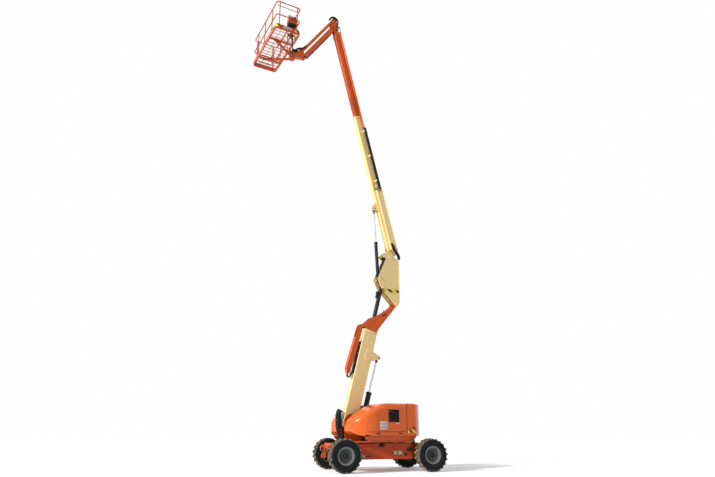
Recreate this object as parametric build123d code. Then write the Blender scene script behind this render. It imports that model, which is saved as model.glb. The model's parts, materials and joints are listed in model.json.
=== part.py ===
"""Articulating boom lift: a self-propelled aerial work platform, one STEP per sub-part, in millimetres.

Frame: +Z up, +X toward the counterweight end, the boom tip at -X, the origin on the floor under
the slewing axis.  The upper works are modelled in their own boom plane (u along X, z up, v across)
and are then turned about the slewing axis by REST_SWING.
"""
from build123d import *
from dataclasses import dataclass
from math import atan2, cos, degrees, hypot, radians, sin
import os

# ---------------------------------------------------------------- driving sizes: carrier
REST_SWING = 12.0            # the upper works stand this far round from the carrier's axis
WHEELBASE = 2740.0
TRACK = 2120.0
TYRE_RADIUS = 480.0          # to the tips of the lugs
TYRE_WIDTH = 370.0
LUG_HEIGHT = 26.0
LUG_COUNT = 20               # on each side of the tread
LUG_LENGTH = 168.0
LUG_THICKNESS = 46.0
RIM_RADIUS = 236.0
RIM_WALL = 10.0
HUB_RADIUS = 118.0
WHEEL_GAP = 0.3              # seat clearance between bodies that touch

FRAME_HALF_WIDTH = 820.0
FRAME_HALF_LENGTH = 850.0
FRAME_BOTTOM = 360.0
FRAME_TOP = 812.0
FRAME_PLATE = 16.0
NECK_HALF_WIDTH = 430.0
NECK_END_FIXED = 1640.0
NECK_END_STEER = 1640.0
AXLE_HALF = 95.0
AXLE_ROOM = 180.0            # of the frame's arch above and beside an axle
PAD_HEIGHT = 110.0           # of the pads on the fixed axle, above its centre
SADDLE_Y = 380.0
SADDLE_WIDTH = 90.0
KINGPIN_Y = 930.0
KINGPIN_RADIUS = 32.0
KNUCKLE_HALF_HEIGHT = 150.0
LUG_EYE_RADIUS = 48.0
LUG_PLATE = 30.0
LUG_EYE = (-1690.0, 640.0)
SLEW_OUTER = 520.0
SLEW_INNER = 400.0

# ---------------------------------------------------------------- driving sizes: turntable
DECK_BOTTOM = 850.0
DECK_PLATE = 26.0
DECK_HALF_WIDTH = 1040.0
DECK_FRONT = -1180.0
TAIL_RADIUS = 1335.0
CHEEK_INNER = 132.0          # inner face of the turntable's upright side plates
CHEEK_PLATE = 26.0
HOOD_INNER = 200.0
HOOD_OUTER = 1120.0
HOOD_BOTTOM = 1030.0
HOOD_TOP = 1985.0
HOOD_SEAM = 405.0
HOOD_NOSE = -1370.0          # beyond the side view's nose
HOOD_GAP = 8.0
HOOD_WALL = 18.0
HOOD_HINGE_V = 179.0         # of the hoods' hinge lines, from the boom plane
HOOD_HINGE_Z = 1880.0
HOOD_HINGES = (-560.0, 240.0)
HINGE_PIN = 8.0
HOOD_ROUND = 150.0           # of the crown's edge
HOOD_STRIP = 1815.0          # above this the hoods have an inner wall
SKIRT_FRONT = -920.0         # of the skirts below the hoods
SKIRT_PLATE = 12.0
SKIRT_LOW = 1012.0           # outer face of the skirts at the deck
SKIRT_HIGH = 1062.0          # and just below the hoods
TAIL_LOW = 1125.0            # radius of the tail at the deck
TAIL_LIP = 1285.0            # and just below its lip

# ---------------------------------------------------------------- driving sizes: booms
TOWER_PIVOT = (-1040.0, 1430.0)
TOWER_ANGLE = 75.0
TOWER_LENGTH = 3030.0
TOWER_TAIL = 190.0
TOWER_WIDTH = 215.0
TOWER_DEPTH = 485.0
TOWER_WALL = 10.0
TOWER_SLACK = 14.0           # between the telescoping section and the wall around it
FLY_WALL = 8.0
FLY_FOOT = 1280.0
FLY_BOX_TOP = 2780.0
GOOSE_PLATE = 10.0
FORK_INNER = TOWER_WIDTH / 2 - TOWER_WALL - TOWER_SLACK - GOOSE_PLATE
CHANNEL_HALF = 66.0          # inner face of the hose channel's sides
CHANNEL_OPEN = 2660.0        # above this the hose channel has no front
ELBOW_PIN = (4251.0, 702.0)  # along and across the tower boom, from its pivot
PIN_RADIUS = 34.0
PAD_LENGTH = 70.0            # of the wear pads round a telescoping section's foot

CYL_FOOT = (-670.0, 1030.0)
CYL_HEAD = (15.0, 3465.0)
CYL_BARREL = 1380.0
CYL_RADIUS = 84.0
CYL_ROD = 32.0

LEVEL_TOP = (215.0, 5900.0)
LEVEL_FOOT = (2208.0, 60.0)  # in the telescoping section, from the tower pivot
LEVEL_BARREL = 1180.0
LEVEL_RADIUS = 64.0
LEVEL_ROD = 34.0

UPRIGHT_HALF = 155.0
UPRIGHT_PLATE = 14.0
MAIN_PIN = (526.0, 7035.0)
MAIN_ANGLE = 75.0
MAIN_LENGTH = 5590.0
MAIN_FOOT = 130.0
MAIN_FRONT = 35.0
MAIN_DEPTH = 285.0
MAIN_WIDTH = 205.0
MAIN_WALL = 9.0
MAIN_SLACK = 12.0
TRAY_START = 190.0
TRAY_END = 2560.0
TRAY_OUT = 128.0
TRAY_WALL = 6.0
TRACK_LOW = 214.0            # the power track's lower edge, across the main boom
TRACK_THICKNESS = 28.0

LIFT_FOOT = (107.0, 6202.0)
LIFT_EYE = (1889.0, -88.0)   # along and across the main boom, from its pin
LIFT_BARREL = 1375.0
LIFT_RADIUS = 54.0
LIFT_ROD = 27.0
LIFT_LUG = 58.0              # inner face of the lugs at the cylinder's eye

FLY_START = 4560.0
FLY_END = 9150.0
TIP_PIN = (9310.0, 150.0)    # along and across the main boom
TUBE_RADIUS = 36.0
TUBE_ACROSS = 262.0
TUBE_OFFSET = -150.0
TUBE_END = 5090.0

JIB_PIN = (-1860.0, 16130.0)
JIB_ANGLE = 56.6             # below the horizontal
JIB_LENGTH = 2120.0
LINK_OFFSET = (13.0, 400.0)  # of the levelling bar's pins from the tube's pins
JIB_SIZE = 178.0
LINK_SIZE = 106.0
HEAD_CHEEK = 98.0            # inner face of the knuckle's plates
ROTATOR = (-3500.0, 14330.0)
ROTATOR_RADIUS = 105.0

# ---------------------------------------------------------------- driving sizes: platform
PLATFORM_CENTRE = ROTATOR[0] - 629.0
PLATFORM_LENGTH = 2440.0
PLATFORM_WIDTH = 910.0
PLATFORM_FLOOR = ROTATOR[1] - 30.0
RAIL_HEIGHT = 1100.0
MID_RAIL = 550.0
RAIL_RADIUS = 19.0
TOE_HEIGHT = 150.0
TOE_WALL = 5.0
GATE_WIDTH = 620.0
GATE_GAP = 26.0

EYE_GAP = 1.0                # between an eye's side and the ear beside it
PIN_CLEAR = 0.3              # between a pin and its bore

SWING = Rot(0, 0, REST_SWING)


# ---------------------------------------------------------------- geometry helpers
@dataclass(frozen=True)
class Axis2:
    """A boom's own axes in the boom plane: s along it, n across it."""

    origin: tuple
    angle: float             # of +s above the +u axis, in degrees

    def at(self, s, n):
        """The (u, z) place of a point s along and n across; +n is 90 degrees clockwise from +s."""
        a = radians(self.angle)
        u = self.origin[0] + s * cos(a) + n * sin(a)
        z = self.origin[1] + s * sin(a) - n * cos(a)
        return (u, z)

    def outline(self, points):
        """Several such points."""
        return [self.at(s, n) for s, n in points]

    @property
    def direction(self):
        """The unit vector along the boom."""
        a = radians(self.angle)
        return Vector(cos(a), 0, sin(a))


TOWER = Axis2(TOWER_PIVOT, TOWER_ANGLE)
MAIN_S = Axis2(MAIN_PIN, 180 - MAIN_ANGLE)
JIB = Axis2(JIB_PIN, 180 + JIB_ANGLE)


def slab(points, v0, v1, radius=0.0):
    """A plate with its outline in the boom plane, from v0 to v1 across; corners rounded if asked."""
    plane = Plane(origin=(0, v0, 0), x_dir=(1, 0, 0), z_dir=(0, -1, 0))
    face = make_face(Polyline(*points, close=True))
    if radius:
        face = fillet(face.vertices(), radius)
    return extrude(plane * face, amount=v1 - v0, dir=(0, 1, 0))


def pair(points, inner, thickness, radius=0.0):
    """Two like plates, one each side of the boom plane."""
    near = slab(points, -inner - thickness, -inner, radius)
    return near + mirror(near, about=Plane.XZ)


def pin(place, radius, half):
    """A round pin or boss across the boom plane."""
    plane = Plane(origin=(place[0], -half, place[1]), z_dir=(0, 1, 0))
    return extrude(plane * Circle(radius), amount=2 * half)


def bosses(place, radius, start, length):
    """Two like round bosses across the boom plane, each from a start outward."""
    return pin(place, radius, start + length) - pin(place, radius + 10, start)


def ring(place, outer, inner, half):
    """An eye: a short tube across the boom plane."""
    plane = Plane(origin=(place[0], -half, place[1]), z_dir=(0, 1, 0))
    return extrude(plane * (Circle(outer) - Circle(inner)), amount=2 * half)


def rod(start, end, radius, v=0.0, bore=0.0):
    """A round bar, or a tube, between two points of the boom plane."""
    a = Vector(start[0], v, start[1])
    b = Vector(end[0], v, end[1])
    section = Circle(radius)
    if bore:
        section = section - Circle(bore)
    return extrude(Plane(origin=a, z_dir=b - a) * section, amount=(b - a).length)


def box_tube(axis, s0, s1, n_mid, width, depth, wall, corner):
    """A hollow box section along a boom's own axis."""
    u, z = axis.at(s0, n_mid)
    section = RectangleRounded(width, depth, corner)
    section -= RectangleRounded(width - 2 * wall, depth - 2 * wall, corner - wall / 2)
    plane = Plane(origin=(u, 0, z), x_dir=(0, 1, 0), z_dir=axis.direction)
    return extrude(plane * section, amount=s1 - s0)


def between(a, b, share):
    """The point that lies a share of the way from a to b."""
    return (a[0] + (b[0] - a[0]) * share, a[1] + (b[1] - a[1]) * share)


def toward(a, b, distance):
    """The point at a distance from a on the line to b."""
    return between(a, b, distance / hypot(b[0] - a[0], b[1] - a[1]))


# ---------------------------------------------------------------- wheels and axles
def tyre(x, y):
    """One tyre: a revolved carcass with chevron lugs round the tread."""
    half = TYRE_WIDTH / 2
    tread = TYRE_RADIUS - LUG_HEIGHT
    shoulder = 34.0
    outline = [
        (RIM_RADIUS, -half + 45), (RIM_RADIUS + 40, -half + 12), (RIM_RADIUS + 95, -half),
        (tread - shoulder, -half + 8), (tread, -half + shoulder + 8),
        (tread, half - shoulder - 8), (tread - shoulder, half - 8), (RIM_RADIUS + 95, half),
        (RIM_RADIUS + 40, half - 12), (RIM_RADIUS, half - 45),
    ]
    carcass = revolve(make_face(Polyline(*outline, close=True)), axis=Axis.Y)
    pitch = 360.0 / LUG_COUNT
    lugs = []
    for index in range(LUG_COUNT):
        for side, turn in ((-1, 0.0), (1, 0.5)):
            block = Box(2 * LUG_HEIGHT, LUG_LENGTH, LUG_THICKNESS)
            block = Pos(0, side * (half - LUG_LENGTH / 2 - 6), 0) * Rot(side * 24, 0, 0) * block
            lugs.append(Rot(0, (index + turn) * pitch, 0) * Pos(TYRE_RADIUS - LUG_HEIGHT + 3, 0, 0) * block)
    limit = extrude(Plane.XZ.offset(-half) * Circle(TYRE_RADIUS), amount=TYRE_WIDTH)
    body = carcass.fuse(*lugs) & limit
    return Pos(x, y, TYRE_RADIUS) * body


def rim(x, y):
    """One dished steel rim with its hub; the dish is toward the outside."""
    half = TYRE_WIDTH / 2
    r = RIM_RADIUS - WHEEL_GAP
    well = r - RIM_WALL
    section = [
        (r, -half + 44), (r, half - 44), (r + 22, half - 24), (r + 22, half - 16), (r - 18, half - 22),
        (well - 18, half - 60), (well - 22, 60), (HUB_RADIUS + 30, 40), (HUB_RADIUS, 95), (0, 95), (0, 20),
        (HUB_RADIUS + 20, 20), (well - 20, 44), (well, 20), (well, -half + 50), (r - 6, -half + 20),
        (r + 20, -half + 14), (r + 20, -half + 24),
    ]
    body = revolve(make_face(Polyline(*section, close=True)), axis=Axis.Y)
    side = 1 if y > 0 else -1
    body = body if side > 0 else mirror(body, about=Plane.XZ)
    return Pos(x, y, TYRE_RADIUS) * body


def fixed_axle():
    """The axle under the boom's end: a round housing, a differential and a flange at each wheel."""
    x = -WHEELBASE / 2
    reach = TRACK / 2 + 20 - WHEEL_GAP
    beam = extrude(Plane(origin=(x, -reach, TYRE_RADIUS), z_dir=(0, 1, 0)) * Circle(70), amount=2 * reach)
    bowl = Pos(x, 180, TYRE_RADIUS) * Sphere(165)
    axle = beam + bowl
    for side in (-1, 1):
        drive = Plane(origin=(x, side * (TRACK / 2 - 185), TYRE_RADIUS), z_dir=(0, side, 0))
        axle += extrude(drive * Circle(150), amount=185 + 20 - WHEEL_GAP)
        axle += Pos(x, side * SADDLE_Y, TYRE_RADIUS + PAD_HEIGHT / 2) * Box(130, SADDLE_WIDTH, PAD_HEIGHT)
    return axle


def steer_axle():
    """The steering axle's beam, with a fork round each knuckle."""
    x = WHEELBASE / 2
    reach = KINGPIN_Y - 70
    beam = Pos(x, 0, TYRE_RADIUS) * Box(150, 2 * reach, 2 * AXLE_HALF)
    for side in (-1, 1):
        for level in (-1, 1):
            arm = Box(110, 150, 34)
            beam += Pos(x, side * (KINGPIN_Y - 20), TYRE_RADIUS + level * (KNUCKLE_HALF_HEIGHT + 20)) * arm
        web = Box(110, 40, 2 * KNUCKLE_HALF_HEIGHT + 74)
        beam += Pos(x, side * (KINGPIN_Y - 95), TYRE_RADIUS) * web
    return beam


def knuckle(side):
    """One steering knuckle: a block on the kingpin's axis with the wheel's stub axle."""
    x = WHEELBASE / 2
    tall = 2 * (KNUCKLE_HALF_HEIGHT + 3 - WHEEL_GAP)
    block = Pos(x, side * KINGPIN_Y, TYRE_RADIUS) * Cylinder(55, tall)
    stub = Plane(origin=(x, side * KINGPIN_Y, TYRE_RADIUS), z_dir=(0, side, 0))
    block += extrude(stub * Circle(88), amount=TRACK / 2 + 20 - WHEEL_GAP - KINGPIN_Y)
    return block


# ---------------------------------------------------------------- carrier frame
def chassis_frame():
    """The carrier's welded frame: a wide box between the wheels and a neck over each axle."""
    half_x, half_y = FRAME_HALF_LENGTH, FRAME_HALF_WIDTH
    outline = [
        (-NECK_END_FIXED, -NECK_HALF_WIDTH), (-half_x - 60, -NECK_HALF_WIDTH), (-half_x, -half_y),
        (half_x, -half_y), (half_x + 60, -NECK_HALF_WIDTH), (NECK_END_STEER, -NECK_HALF_WIDTH),
        (NECK_END_STEER, NECK_HALF_WIDTH), (half_x + 60, NECK_HALF_WIDTH), (half_x, half_y),
        (-half_x, half_y), (-half_x - 60, NECK_HALF_WIDTH), (-NECK_END_FIXED, NECK_HALF_WIDTH),
    ]
    face = make_face(Polyline(*outline, close=True))
    solid = extrude(Plane.XY.offset(FRAME_BOTTOM) * face, amount=FRAME_TOP - FRAME_BOTTOM)
    inner = offset(face, amount=-FRAME_PLATE, kind=Kind.INTERSECTION)
    tall = FRAME_TOP - FRAME_BOTTOM - 2 * FRAME_PLATE
    solid -= extrude(Plane.XY.offset(FRAME_BOTTOM + FRAME_PLATE) * inner, amount=tall)
    high = TYRE_RADIUS + AXLE_ROOM
    for x, end in ((-WHEELBASE / 2, -NECK_END_FIXED), (WHEELBASE / 2, NECK_END_STEER)):
        root = x - AXLE_ROOM if x > 0 else x + AXLE_ROOM
        tip = end + 60 if x > 0 else end - 60
        tall = high - FRAME_BOTTOM + 20
        solid -= Pos((root + tip) / 2, 0, high - tall / 2) * Box(abs(tip - root), 3 * half_y, tall)
        roof = Box(abs(end - root) - 1, 2 * NECK_HALF_WIDTH, FRAME_PLATE)
        solid += Pos((root + end) / 2, 0, high + FRAME_PLATE / 2) * roof
        for side in (-1, 1):
            low = TYRE_RADIUS + (AXLE_HALF if x > 0 else PAD_HEIGHT) + WHEEL_GAP
            saddle = Box(130, SADDLE_WIDTH, high + FRAME_PLATE - low)
            solid += Pos(x, side * SADDLE_Y, (high + FRAME_PLATE + low) / 2) * saddle
    return solid


def tie_down_lugs():
    """The lashing and towing plates at the fixed axle's end, each with its eye."""
    u, z = LUG_EYE
    root = -NECK_END_FIXED
    outline = [
        (root + 60, 370), (u - 40, 370), (u - 40, 470), (u + 30, 540), (u - 75, 600),
        (u - 75, 700), (u - 20, 760), (root + 60, 760),
    ]
    lugs = []
    for side in (-1, 1):
        y = side * NECK_HALF_WIDTH
        v0 = y if side > 0 else y - LUG_PLATE
        plate = slab(outline, v0, v0 + LUG_PLATE, 18.0)
        hole = extrude(Plane(origin=(u, v0 - 5, z), z_dir=(0, 1, 0)) * Circle(LUG_EYE_RADIUS),
                       amount=LUG_PLATE + 10)
        lugs.append(plate - hole)
    return Compound(children=lugs)


def slew_ring():
    """The slewing bearing between carrier and turntable."""
    band = Circle(SLEW_OUTER) - Circle(SLEW_INNER)
    return extrude(Plane.XY.offset(FRAME_TOP) * band, amount=DECK_BOTTOM - FRAME_TOP - WHEEL_GAP)


# ---------------------------------------------------------------- turntable
def turntable_base():
    """The turntable's deck, its two upright cheeks and the pins of the tower boom and its cylinder."""
    plan = Circle(TAIL_RADIUS - 25) & Pos(HOOD_SEAM - 2000, 0) * Rectangle(4000, 4000)
    deck = extrude(Plane.XY.offset(DECK_BOTTOM) * (plan + Circle(TAIL_LOW)), amount=DECK_PLATE)
    keep = Pos((DECK_FRONT + TAIL_RADIUS) / 2, 0, DECK_BOTTOM) * Box(
        TAIL_RADIUS - DECK_FRONT, 2 * DECK_HALF_WIDTH, 200)
    deck = deck & keep
    slot = Pos(1000, 0, DECK_BOTTOM) * Box(880, 2 * CHEEK_INNER, 200)
    deck -= slot
    top = DECK_BOTTOM + DECK_PLATE
    outline = [
        (-1235, top), (1090, top), (1090, 1010), (300, 1120), (-420, 1250), (-850, 1600),
        (-1000, 1680), (-1150, 1660), (-1270, 1500), (-1270, 1200),
    ]
    cheeks = pair(outline, CHEEK_INNER, CHEEK_PLATE, 30.0)
    base = deck + cheeks
    long = HOOD_SEAM - SKIRT_FRONT
    for side in (-1, 1):
        plane = Plane(origin=(SKIRT_FRONT, 0, 0), x_dir=(0, side, 0), z_dir=(side, 0, 0))
        skirt = Polyline((SKIRT_LOW - SKIRT_PLATE, DECK_BOTTOM + 4), (SKIRT_LOW, DECK_BOTTOM + 4),
                         (SKIRT_HIGH, HOOD_BOTTOM - HOOD_GAP),
                         (SKIRT_HIGH - SKIRT_PLATE, HOOD_BOTTOM - HOOD_GAP),
                         close=True)
        base += extrude(plane * make_face(skirt), amount=long, dir=(1, 0, 0))
    reach = CHEEK_INNER + CHEEK_PLATE
    base += pin(TOWER_PIVOT, PIN_RADIUS, reach)
    base += pin(CYL_FOOT, 28, reach)
    for u in HOOD_HINGES:
        for side in (-1, 1):
            tall = HOOD_HINGE_Z - top + 1
            base += Pos(u, side * HOOD_HINGE_V, top + tall / 2 - 1) * Box(44, 20, tall)
            axis = Plane(origin=(u - 22, side * HOOD_HINGE_V, HOOD_HINGE_Z), z_dir=(1, 0, 0))
            base += extrude(axis * Circle(13), amount=44) + extrude(axis * Circle(HINGE_PIN), amount=100)
    return base


def hood_sleeves():
    """The sleeves that turn on the near hood's hinge pins, with the leaves that carry them."""
    sleeves = []
    for u in HOOD_HINGES:
        axis = Plane(origin=(u + 28, -HOOD_HINGE_V, HOOD_HINGE_Z), z_dir=(1, 0, 0))
        sleeve = extrude(axis * (Circle(14) - Circle(HINGE_PIN + PIN_CLEAR)), amount=50)
        place = Pos(u + 53, -(HOOD_HINGE_V + HOOD_INNER) / 2 - 8, HOOD_HINGE_Z)
        leaf = place * Box(50, HOOD_INNER - HOOD_HINGE_V, 12)
        sleeves.append(sleeve + leaf)
    return sleeves


def hood_outline(wall):
    """The side view of a hood, drawn in by a wall: a low nose that sweeps up into a flat back."""
    foot, chin = (-1060 + wall, HOOD_BOTTOM + wall), (-1340 + wall, 1230)
    back = (HOOD_SEAM - wall, HOOD_TOP - wall)
    nose = Polyline(foot, (-1235 + 0.8 * wall, 1080 + 0.8 * wall), (-1310 + wall, 1145 + 0.4 * wall), chin)
    crown = Spline(chin, (-1130 + 0.6 * wall, 1590 - 0.8 * wall), (-560 + 0.3 * wall, 1905 - wall), back,
                   tangents=((0.05, 1), (1, 0)))
    close = Polyline(back, (HOOD_SEAM - wall, HOOD_BOTTOM + wall), foot)
    return make_face(nose + crown + close)


def hood_plan(wall):
    """The view of a hood from above, drawn in by a wall, with its rounded nose."""
    inner, outer = HOOD_INNER + wall, HOOD_OUTER - wall
    end, nose = HOOD_SEAM + 1 - wall, HOOD_NOSE + wall
    side = Polyline((end, -inner), (end, -outer), (-660, -outer))
    bow = TangentArc((-660, -outer), (nose, -HOOD_INNER - 250), tangent=(-1, 0))
    front = Polyline((nose, -HOOD_INNER - 250), (nose, -inner), (end, -inner))
    return make_face(side + bow + front)


def hood_solid(wall, rounding):
    """A hood's form, drawn in by a wall all round, still solid, rounded along its crown."""
    plane = Plane(origin=(0, 0, 0), x_dir=(1, 0, 0), z_dir=(0, -1, 0))
    form = extrude(plane * hood_outline(wall), amount=HOOD_OUTER + 50)
    form = form & extrude(Plane.XY.offset(HOOD_BOTTOM - 10) * hood_plan(wall), amount=HOOD_TOP)
    crown = [e for e in form.edges() if e.center().Z > HOOD_BOTTOM + 100 and e.center().Y < -HOOD_INNER - 50
             and abs(e.center().X - HOOD_SEAM) > 25 and (e.geom_type != GeomType.LINE or e.length < 500)]
    return fillet(crown, rounding)


def hood():
    """The near hood: a moulded shell, rounded along its crown, open below and toward the booms."""
    form = hood_solid(0, HOOD_ROUND)
    cavity = hood_solid(HOOD_WALL, HOOD_ROUND - HOOD_WALL)
    mid = (HOOD_INNER + HOOD_OUTER) / 2
    cavity += Pos(-320, -mid, HOOD_BOTTOM) * Box(1400, HOOD_OUTER - HOOD_INNER - 2 * HOOD_WALL - 40, 60)
    tall = HOOD_STRIP - HOOD_BOTTOM + 40
    mouth = Box(HOOD_SEAM - HOOD_NOSE - 2 * HOOD_WALL, 120, tall)
    mouth = Pos((HOOD_SEAM + HOOD_NOSE) / 2, -HOOD_INNER - 20, HOOD_STRIP - tall / 2) * mouth
    return (form - cavity - mouth).fuse(*hood_sleeves())


GRILLE = (-262.0, 135.0, 1425.0, 1795.0)      # u0, u1, z0, z1 of the window in the hood's side


def grille_window(grow):
    """The block that cuts the grille's window through the hood's side."""
    u0, u1, z0, z1 = GRILLE
    box = Box(u1 - u0 + 2 * grow, 60, z1 - z0 + 2 * grow)
    box = fillet(box.edges().filter_by(Axis.Y), 24 + grow)
    return Pos((u0 + u1) / 2, -HOOD_OUTER + 20, (z0 + z1) / 2) * box


def hood_groove():
    """The pressed line that arches over the hood's side panel."""
    path = Polyline((-150, -1150), (-1130, -1150)) + ThreePointArc((-1130, -1150), (-1160, -1400),
                                                                   (-760, -1590))
    path += ThreePointArc((-760, -1590), (-520, -1650), (-262, -1695))
    plane = Plane(origin=(0, -HOOD_OUTER - 6, 0), x_dir=(1, 0, 0), z_dir=(0, 1, 0))
    band = offset(path, amount=5, side=Side.BOTH)
    return extrude(plane * make_face(band), amount=12)


def grille():
    """The grille in the hood's window: a frame with upright louvres."""
    u0, u1, z0, z1 = GRILLE
    frame = grille_window(-WHEEL_GAP)
    frame = frame & Pos(0, -HOOD_OUTER + HOOD_WALL / 2, (z0 + z1) / 2) * Box(2000, HOOD_WALL - 4, 2000)
    slots = []
    count = 11
    pitch = (z1 - z0 - 30) / count
    for index in range(count):
        slot = Box(u1 - u0 - 40, 80, pitch * 0.6)
        slots.append(Pos((u0 + u1) / 2, -HOOD_OUTER, z0 + 15 + pitch * (index + 0.5)) * slot)
    return frame.cut(*slots)


def counterweight():
    """The cast counterweight: two halves with a slot between them for the lowered tower boom."""
    z0 = DECK_BOTTOM + DECK_PLATE
    start = HOOD_SEAM + HOOD_GAP
    plan = Circle(TAIL_RADIUS) & Pos(1000 + start, 0) * Rectangle(2000, 2 * HOOD_OUTER)
    plan = plan - Rectangle(4000, 2 * HOOD_INNER)
    body = extrude(Plane.XY.offset(z0) * plan, amount=HOOD_TOP - z0)
    for side in (-1, 1):
        plane = Plane(origin=(300, 0, 0), x_dir=(0, side, 0), z_dir=(side, 0, 0))
        wedge = Polyline((SKIRT_HIGH, HOOD_BOTTOM), (1400, HOOD_BOTTOM), (1400, z0 - 10),
                         (SKIRT_LOW, z0 - 10), close=True)
        body -= extrude(plane * make_face(wedge), amount=1300, dir=(1, 0, 0))
    under = Polyline((TAIL_LIP, HOOD_BOTTOM), (1500, HOOD_BOTTOM), (1500, z0 - 10), (TAIL_LOW, z0 - 10),
                     close=True)
    body -= revolve(Plane.XZ * make_face(under), axis=Axis.Z)
    taper = [(1200, HOOD_TOP + 1), (1500, HOOD_TOP + 1), (1500, 1240), (1340, 1240)]
    body -= slab(taper, -1300, 1300)
    edges = [e for e in body.edges() if e.center().Z > HOOD_TOP - 1 and e.center().X > start + 30
             and abs(e.center().Y) > HOOD_INNER + 60]
    return fillet(edges, 70)


def engine_block():
    """The engine and pump, as one plain block at its real place and size."""
    top = DECK_BOTTOM + DECK_PLATE
    return Pos(-330, -640, top + 360) * Box(900, 560, 720)


def hose_guard():
    """The curved guard and hose bundle in front of the tower boom's foot."""
    outline = [
        (-1335, 880), (-1240, 880), (-1354, 1230), (-1354, 1700), (-1374, 1745), (-1408, 1735),
        (-1432, 1680), (-1432, 1290), (-1345, 920),
    ]
    guard = slab(outline, -110, 110, 8.0)
    edge = DECK_FRONT - WHEEL_GAP
    foot = [(-1340, DECK_BOTTOM), (edge, DECK_BOTTOM), (edge, 876), (-1240, 905), (-1340, 905)]
    return guard + slab(foot, -110, 110)


# ---------------------------------------------------------------- tower boom
def lower_boom():
    """The tower's outer section: a hollow box with a rounded foot and the lift cylinder's ears."""
    half = TOWER_DEPTH / 2
    tube = box_tube(TOWER, -TOWER_TAIL, TOWER_LENGTH, 0, TOWER_WIDTH, TOWER_DEPTH, TOWER_WALL, 14)
    foot = slab(TOWER.outline([(-260, -300), (-260, 300), (-40, 300), (-TOWER_TAIL + 10, 90),
                               (-TOWER_TAIL + 10, -300)]), -200, 200)
    boom = tube - foot
    sleeve = ring(TOWER_PIVOT, PIN_RADIUS + 26, PIN_RADIUS + PIN_CLEAR, TOWER_WIDTH / 2 + 8)
    boom = boom - pin(TOWER_PIVOT, PIN_RADIUS + 20, 200) + sleeve
    ear = [(-500, 3335), (-20, 3395), (56, 3412), (76, 3470), (50, 3522), (-194, 3660), (-250, 3770),
           (-400, 3750),
           (-500, 3560)]
    ears = pair(ear, TOWER_WIDTH / 2, 12, 16.0)
    ears += bosses(CYL_HEAD, 34, TOWER_WIDTH / 2 + 11, 12)
    lug = TOWER.outline([(TOWER_LENGTH - 60, half), (TOWER_LENGTH - 60, half + 28), (TOWER_LENGTH, half + 28),
                         (TOWER_LENGTH, half)])
    return boom + ears + slab(lug, -60, 60)


def local(axis, place):
    """A boom-plane point in a boom's own axes: how far along, and how far across."""
    a = radians(axis.angle)
    du, dz = place[0] - axis.origin[0], place[1] - axis.origin[1]
    return (du * cos(a) + dz * sin(a), du * sin(a) - dz * cos(a))


def tower_track():
    """The hose track that lies along the front of the tower boom."""
    front = -TOWER_DEPTH / 2 - WHEEL_GAP
    return slab(TOWER.outline([(1490, front), (2560, front), (2560, front - 52), (1540, front - 52),
                               (1490, front - 30)]), -62, 62, 0)


def tower_fly():
    """The tower's telescoping section, with the open-backed elbow that carries the upright."""
    slack = TOWER_WALL + TOWER_SLACK
    depth = TOWER_DEPTH - 2 * slack
    width = TOWER_WIDTH - 2 * slack
    box = box_tube(TOWER, FLY_FOOT, FLY_BOX_TOP, 0, width, depth, FLY_WALL, 10)
    seat = 2 * (TOWER_WALL + WHEEL_GAP)
    box += box_tube(TOWER, FLY_FOOT, FLY_FOOT + PAD_LENGTH, 0, TOWER_WIDTH - seat, TOWER_DEPTH - seat,
                    TOWER_SLACK + 2, 14)
    half = depth / 2
    top = TOWER_LENGTH
    elbow = [
        (FLY_BOX_TOP - 200, -half), (top + 30, -half), (top + 34, -TOWER_DEPTH / 2 - 60),
        (top + 170, -TOWER_DEPTH / 2 - 50), (top + 430, -110), (top + 640, 168), (top + 900, 424),
        (ELBOW_PIN[0] + 20, ELBOW_PIN[1] - 62), (ELBOW_PIN[0] + 60, ELBOW_PIN[1]),
        (ELBOW_PIN[0], ELBOW_PIN[1] + 60),
        (ELBOW_PIN[0] - 100, ELBOW_PIN[1] + 30), (top + 130, half + 40), (top + 20, half + 24),
        (top + 12, half), (FLY_BOX_TOP - 200, half),
    ]
    inner = width / 2 - GOOSE_PLATE
    plates = pair(TOWER.outline(elbow), inner, GOOSE_PLATE, 0)
    slot = TOWER.outline([(3650, 300), (3700, 290), (3830, 452), (3790, 470)])
    plates -= slab(slot, -300, 300, 14.0)
    rear = TOWER.outline([(top + 14, half - 18), (top + 130, half + 28),
                          (ELBOW_PIN[0] - 190, ELBOW_PIN[1] - 22),
                          (ELBOW_PIN[0] - 196, ELBOW_PIN[1] - 40), (top + 138, half + 14),
                          (top + 14, half - 32)])
    front = TOWER.outline([(top + 44, -TOWER_DEPTH / 2 - 50), (top + 156, -TOWER_DEPTH / 2 - 32),
                           (top + 300, -172),
                           (top + 300, -154), (top + 166, -TOWER_DEPTH / 2 - 12),
                           (top + 44, -TOWER_DEPTH / 2 - 32)])
    neck = TOWER.outline([(top + 760, 300), (ELBOW_PIN[0] - 60, ELBOW_PIN[1] - 90),
                          (ELBOW_PIN[0] - 70, ELBOW_PIN[1] - 76),
                          (top + 750, 316)])
    webs = slab(rear, -inner, inner) + slab(front, -inner, inner) + slab(neck, -inner, inner)
    seat = TOWER.at(*LEVEL_FOOT)
    eye = ring(TOWER.at(*ELBOW_PIN), PIN_RADIUS + 28, PIN_RADIUS + PIN_CLEAR,
               UPRIGHT_HALF - UPRIGHT_PLATE - EYE_GAP - 8)
    body = box + plates + webs - pin(TOWER.at(*ELBOW_PIN), PIN_RADIUS + 20, 300) + eye
    return body + bosses(seat, 34, width / 2 - 1, 6)


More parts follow.
